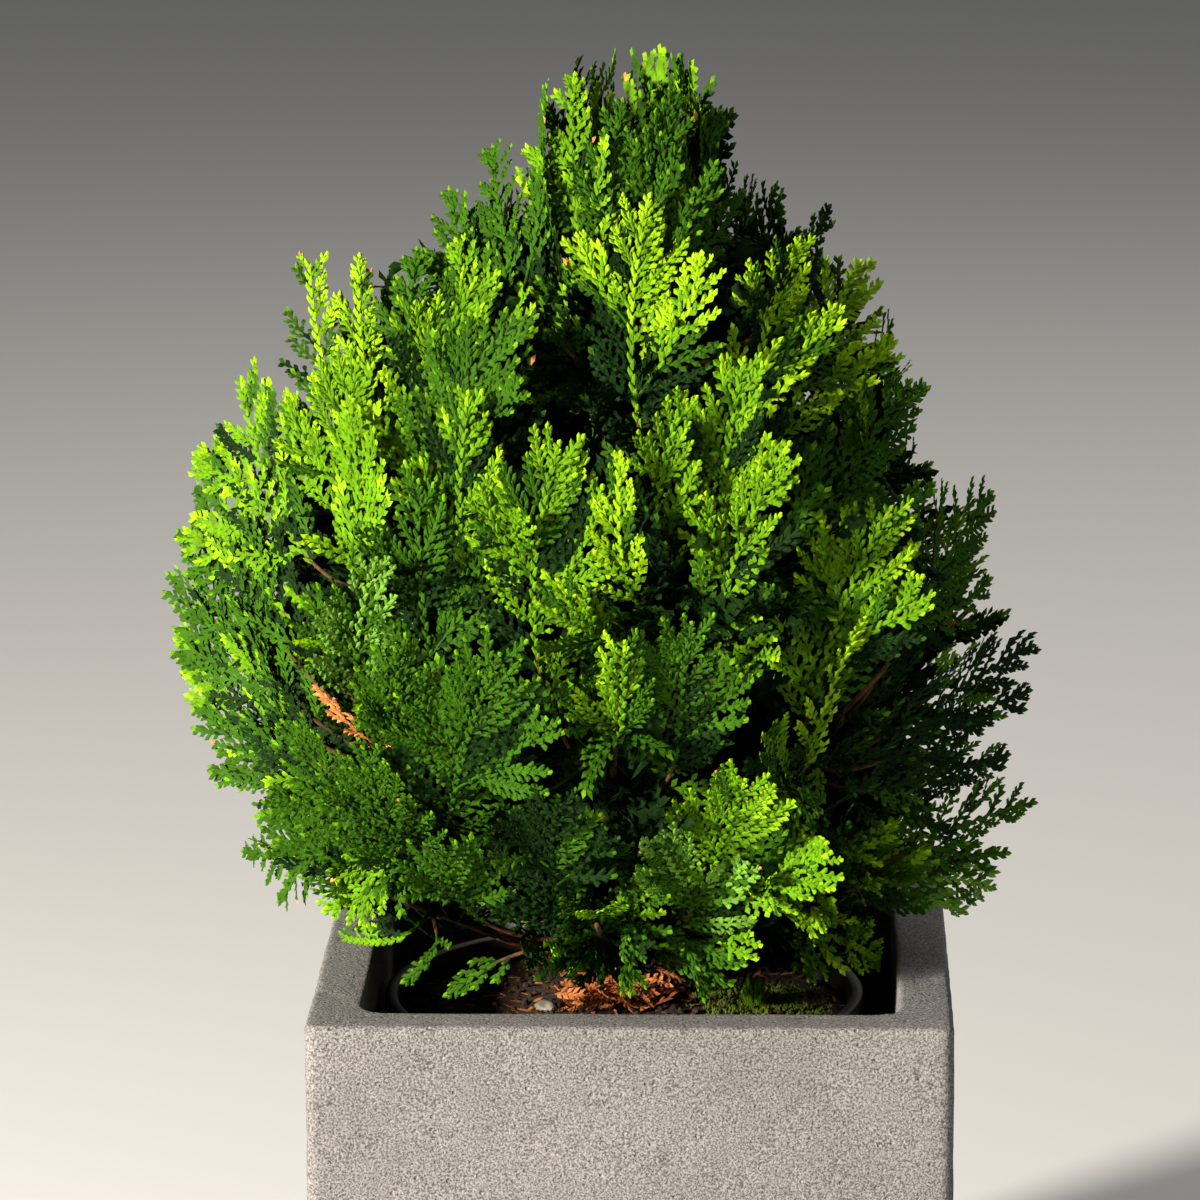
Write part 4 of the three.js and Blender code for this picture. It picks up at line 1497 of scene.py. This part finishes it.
class CYPRESS_OT_sprays(bpy.types.Operator):
    """Clothe every frond with flat sprays of scale leaves, joined into a few large pieces"""

    bl_idname = "cypress.sprays"
    bl_label = "Sprays"

    def execute(self, context):
        sizes, colours = context.scene.cypress_sizes, context.scene.cypress_colours
        full, kinds = sizes.spray_length / MM, range(sizes.spray_kinds)
        wide, lobe = sizes.lobe_width / MM, sizes.lobe_length / MM

        def kit(shape, coarseness, *shares):
            grain = Grain(wide * coarseness, lobe * coarseness, lobe * coarseness * LOBE_LAP)
            return {
                full * share: [make_spray(shape, full * share, grain, seeded("spray", k)) for k in kinds]
                for share in shares
            }

        kits = {
            "young": kit(KEELED, 1, 0.32, 0.48, 0.7, 0.95),
            "fine": kit(KITE, 1.15, 0.32, 0.48, 0.7, 0.95),
            "coarse": kit(KITE, 1.5, 0.7, 1),
            "shade": kit(KITE, 2.3, 1.5),
        }
        scale = hull_shape(KEELED)
        materials = [
            # The first slot, the deep green, is a painted shade.
            scale_leaves("leaves_deep", colours.deep),
            scale_leaves("leaves_green", colours.green),
            scale_leaves("leaves_mid", colours.mid),
            scale_leaves("leaves_bright", colours.bright),
            scale_leaves("leaves_fresh", colours.fresh),
            scale_leaves("leaves_glaucous", colours.glaucous),
            dry_matter("spent_cones", colours.cone),
        ]
        by_mass = [[] for _ in PLACES]
        for i, frond in enumerate(FRONDS):
            random = seeded("frond", i)
            for item in clothe_frond(frond, kits, random):
                by_mass[frond.own].append(self.dress(item, frond, random))
            if not frond.deep:
                by_mass[frond.own] += self.clad_axis(frond, scale, wide)
        [plain] = kits["shade"].values()
        for own in range(len(PLACES)):
            by_mass[own] += self.core_sprays(own, plain)
        self.add_pieces(by_mass, materials)
        return {"FINISHED"}

    def dress(self, item, frond, random):
        """The arrays of one spray in its place, with the slots of its palette."""
        spray = item.spray
        # Deeper sprays lose luck and so get darker palettes: painted shade.
        luck = next(random) - LUCK_LOST_TO_PAINTED_SHADE * item.depth - (DEEP_FROND_LUCK_LOST_TO_PAINTED_SHADE if frond.deep else 0)
        name = next(name for name, needed in LUCK_NEEDED if luck > needed)
        if frond.tone and luck > 0:
            name = frond.tone
        slots = np.array(PALETTES[name])[spray.ages]
        shuffled = spray.lobes * 31 + int(next(random) * 6000)
        slots[(spray.ages == YOUNGEST) & (shuffled % CONE_EVERY == 0)] = CONE_SLOT
        return bent_points(item), spray.faces, slots

    def clad_axis(self, frond, scale, wide):
        """The scale leaves that clothe the front of a frond's own axis, each lapping the next."""
        parts = []
        points, faces = scale
        slots = PALETTES[frond.tone or "bright"]
        distances = np.arange(AXIS_FIRST, frond.leafy * 0.85, AXIS_STEP)
        for i, back in enumerate(distances):
            base, heading = along_path(frond.path, back)
            facing = squared_to(frond.facing, heading)
            heading = turned_about(heading, facing, AXIS_LEAN * (-1) ** i)
            rows = np.array([np.cross(heading, facing) * wide, heading * AXIS_STEP * 1.5, facing * wide])
            slot = slots[2 if back < 0.5 * frond.leafy else 1]
            parts.append((points @ rows + base + facing * 0.5, faces, np.full(len(faces), slot)))
        return parts

    def core_sprays(self, own, plain):
        """Plain sprays and their twigs, all in the deep green that paints shade, which fill the shade
        between the fronds of one mass.
        """
        random = seeded("core", own)
        nearest, furthest = CORE_SHARES
        parts = []
        for _ in range(CORE_TRIES):
            base = HEARTS[own] + CORE_CUBE * stray_vector(random)
            outward = outward_at(base)
            reach = np.linalg.norm((base - trunk_at(base[2]))[:2])
            share = reach / max(1, crown_radius_at(base[2], outward))
            if not nearest < share < furthest or depth_in_space(base, own) < 0:
                continue
            wander = stray_vector(random)
            heading = unit(outward * 0.5 + UP * 0.3 + wander * 1.4)
            facing = squared_to(outward + 1.2 * wander[::-1], heading)
            spray = plain[int(next(random) * len(plain))]
            item = Instance(spray, base, heading, facing, 0.8 + 0.4 * next(random), 0.2, 0.2, 0, 0)
            points = bent_points(item)
            if not stays_inside(points, CORE_SLACK) or in_clearing(points):
                continue
            # Slot 0, the deep green, paints shade on these sprays and on their twigs.
            parts.append((points, spray.faces, np.zeros(len(spray.faces))))
            foot = place_point(PLACES[own], STEM_END * (0.5 + 0.4 * next(random)))
            points = (foot, base - heading * 20, base)
            twig = np.array([curve_point(points, share) for share in CORE_TWIG_SHARES])
            parts.append(tube_arrays(twig, CORE_TWIG_RADII, 3, np.zeros(len(twig))))
            if len(parts) >= 2 * CORE_SPRAYS:
                break
        return parts

    def add_pieces(self, by_mass, materials):
        """Joins the sprays of neighbouring masses into pieces below the limit on triangles."""
        batch, nodes, count = [], [], 0
        number = 1
        for place, parts in zip(PLACES, by_mass):
            own = sum(len(faces) for _, faces, _ in parts)
            if batch and count + own > PIECE_LIMIT:
                self.add_batch(number, batch, nodes, materials)
                batch, nodes, count = [], [], 0
                number += 1
            batch += parts
            nodes.append(f"foliage_{place.tier.name}_{place.index + 1}")
            count += own
        self.add_batch(number, batch, nodes, materials)

    def add_batch(self, number, batch, nodes, materials):
        name = f"sprays_{number}"
        data = arrays_to_mesh(name, *join_arrays(batch), smooth=False)
        add_piece(name, data, materials, "foliage", *nodes)


class CYPRESS_OT_stage(bpy.types.Operator):
    """Lay the pale floor, and set up the camera and the soft lights"""

    bl_idname = "cypress.stage"
    bl_label = "Stage"

    def execute(self, context):
        stage, colours = context.scene.cypress_stage, context.scene.cypress_colours
        mesh = bmesh.new()
        bmesh.ops.create_grid(mesh, x_segments=1, y_segments=1, size=12000)
        floor = bpy.data.objects.new("floor", finish_mesh(mesh, "floor"))
        context.scene.collection.objects.link(floor)
        paper, _ = new_material("seamless_paper", 0.9, 0.2)
        shader_inputs(paper)["Base Color"].default_value = opaque(colours.floor)
        floor.data.materials.append(paper)
        turn, tilt, roll = stage.camera_turn
        camera = bpy.data.objects.new("camera", bpy.data.cameras.new("camera"))
        context.scene.collection.objects.link(camera)
        camera.data.sensor_width = 36
        camera.data.lens = stage.lens
        camera.data.clip_end = 60
        camera.matrix_world = (
            Matrix.Translation(stage.camera_place)
            @ Matrix.Rotation(turn, 4, "Z")
            @ Matrix.Rotation(math.pi / 2 - tilt, 4, "X")
            @ Matrix.Rotation(roll, 4, "Z")
        )
        context.scene.camera = camera
        middle = Vector((0, 0, 0.45))
        self.add_light("key", (-2.2, -1.93, 1.22), middle, 0.35, stage.key_power, (1.0, 0.94, 0.84))
        self.add_light("fill", (2.4, -1.6, 1.6), middle, 2.2, stage.fill_power, (0.86, 0.93, 1.0))
        self.add_light("top", (0.2, 1.4, 3.2), middle, 1.6, stage.fill_power, (1.0, 0.98, 0.95))
        self.add_light("back", (1.1, 2.2, 3.0), middle, 2.2, 4 * stage.fill_power, (1.0, 0.98, 0.95))
        context.scene.view_settings.view_transform = "Standard"
        world = bpy.data.worlds.new("room")
        world.use_nodes = True
        world.node_tree.nodes["Background"].inputs["Color"].default_value = (0.9, 0.95, 1, 1)
        world.node_tree.nodes["Background"].inputs["Strength"].default_value = stage.sky
        context.scene.world = world
        return {"FINISHED"}

    def add_light(self, name, place, target, size, power, tint):
        light = bpy.data.lights.new(name, "AREA")
        light.shape = "DISK"
        light.size = size
        light.energy = power
        light.color = tint
        lamp = bpy.data.objects.new(name, light)
        bpy.context.scene.collection.objects.link(lamp)
        lamp.location = place
        lamp.rotation_euler = (target - Vector(place)).to_track_quat("-Z", "Y").to_euler()


class CYPRESS_PT_panel(bpy.types.Panel):
    """Lists the sizes, the colours and the steps"""

    bl_idname = "CYPRESS_PT_panel"
    bl_label = "Potted false cypress"
    bl_space_type = "VIEW_3D"
    bl_region_type = "UI"
    bl_category = "Cypress"

    def draw(self, context):
        layout, scene = self.layout, context.scene
        for group in (scene.cypress_sizes, scene.cypress_colours, scene.cypress_stage):
            box = layout.box()
            for name in group.__annotations__:
                box.prop(group, name)
        for step in STEPS:
            layout.operator(step.bl_idname)


STEPS = (
    CYPRESS_OT_planter,
    CYPRESS_OT_grow_pot,
    CYPRESS_OT_compost,
    CYPRESS_OT_limbs,
    CYPRESS_OT_twigs,
    CYPRESS_OT_sprays,
    CYPRESS_OT_stage,
)
CLASSES = (CypressSizes, CypressColours, CypressStage, *STEPS, CYPRESS_PT_panel)


def register():
    for cls in CLASSES:
        bpy.utils.register_class(cls)
    bpy.types.Scene.cypress_sizes = PointerProperty(type=CypressSizes)
    bpy.types.Scene.cypress_colours = PointerProperty(type=CypressColours)
    bpy.types.Scene.cypress_stage = PointerProperty(type=CypressStage)


def unregister():
    del bpy.types.Scene.cypress_stage
    del bpy.types.Scene.cypress_colours
    del bpy.types.Scene.cypress_sizes
    for cls in reversed(CLASSES):
        bpy.utils.unregister_class(cls)


def main():
    register()
    bpy.ops.cypress.stage()
    bpy.ops.cypress.planter()
    bpy.ops.cypress.grow_pot()
    bpy.ops.cypress.compost()
    bpy.ops.cypress.limbs()
    bpy.ops.cypress.twigs()
    bpy.ops.cypress.sprays()


if __name__ == "__main__":
    main()
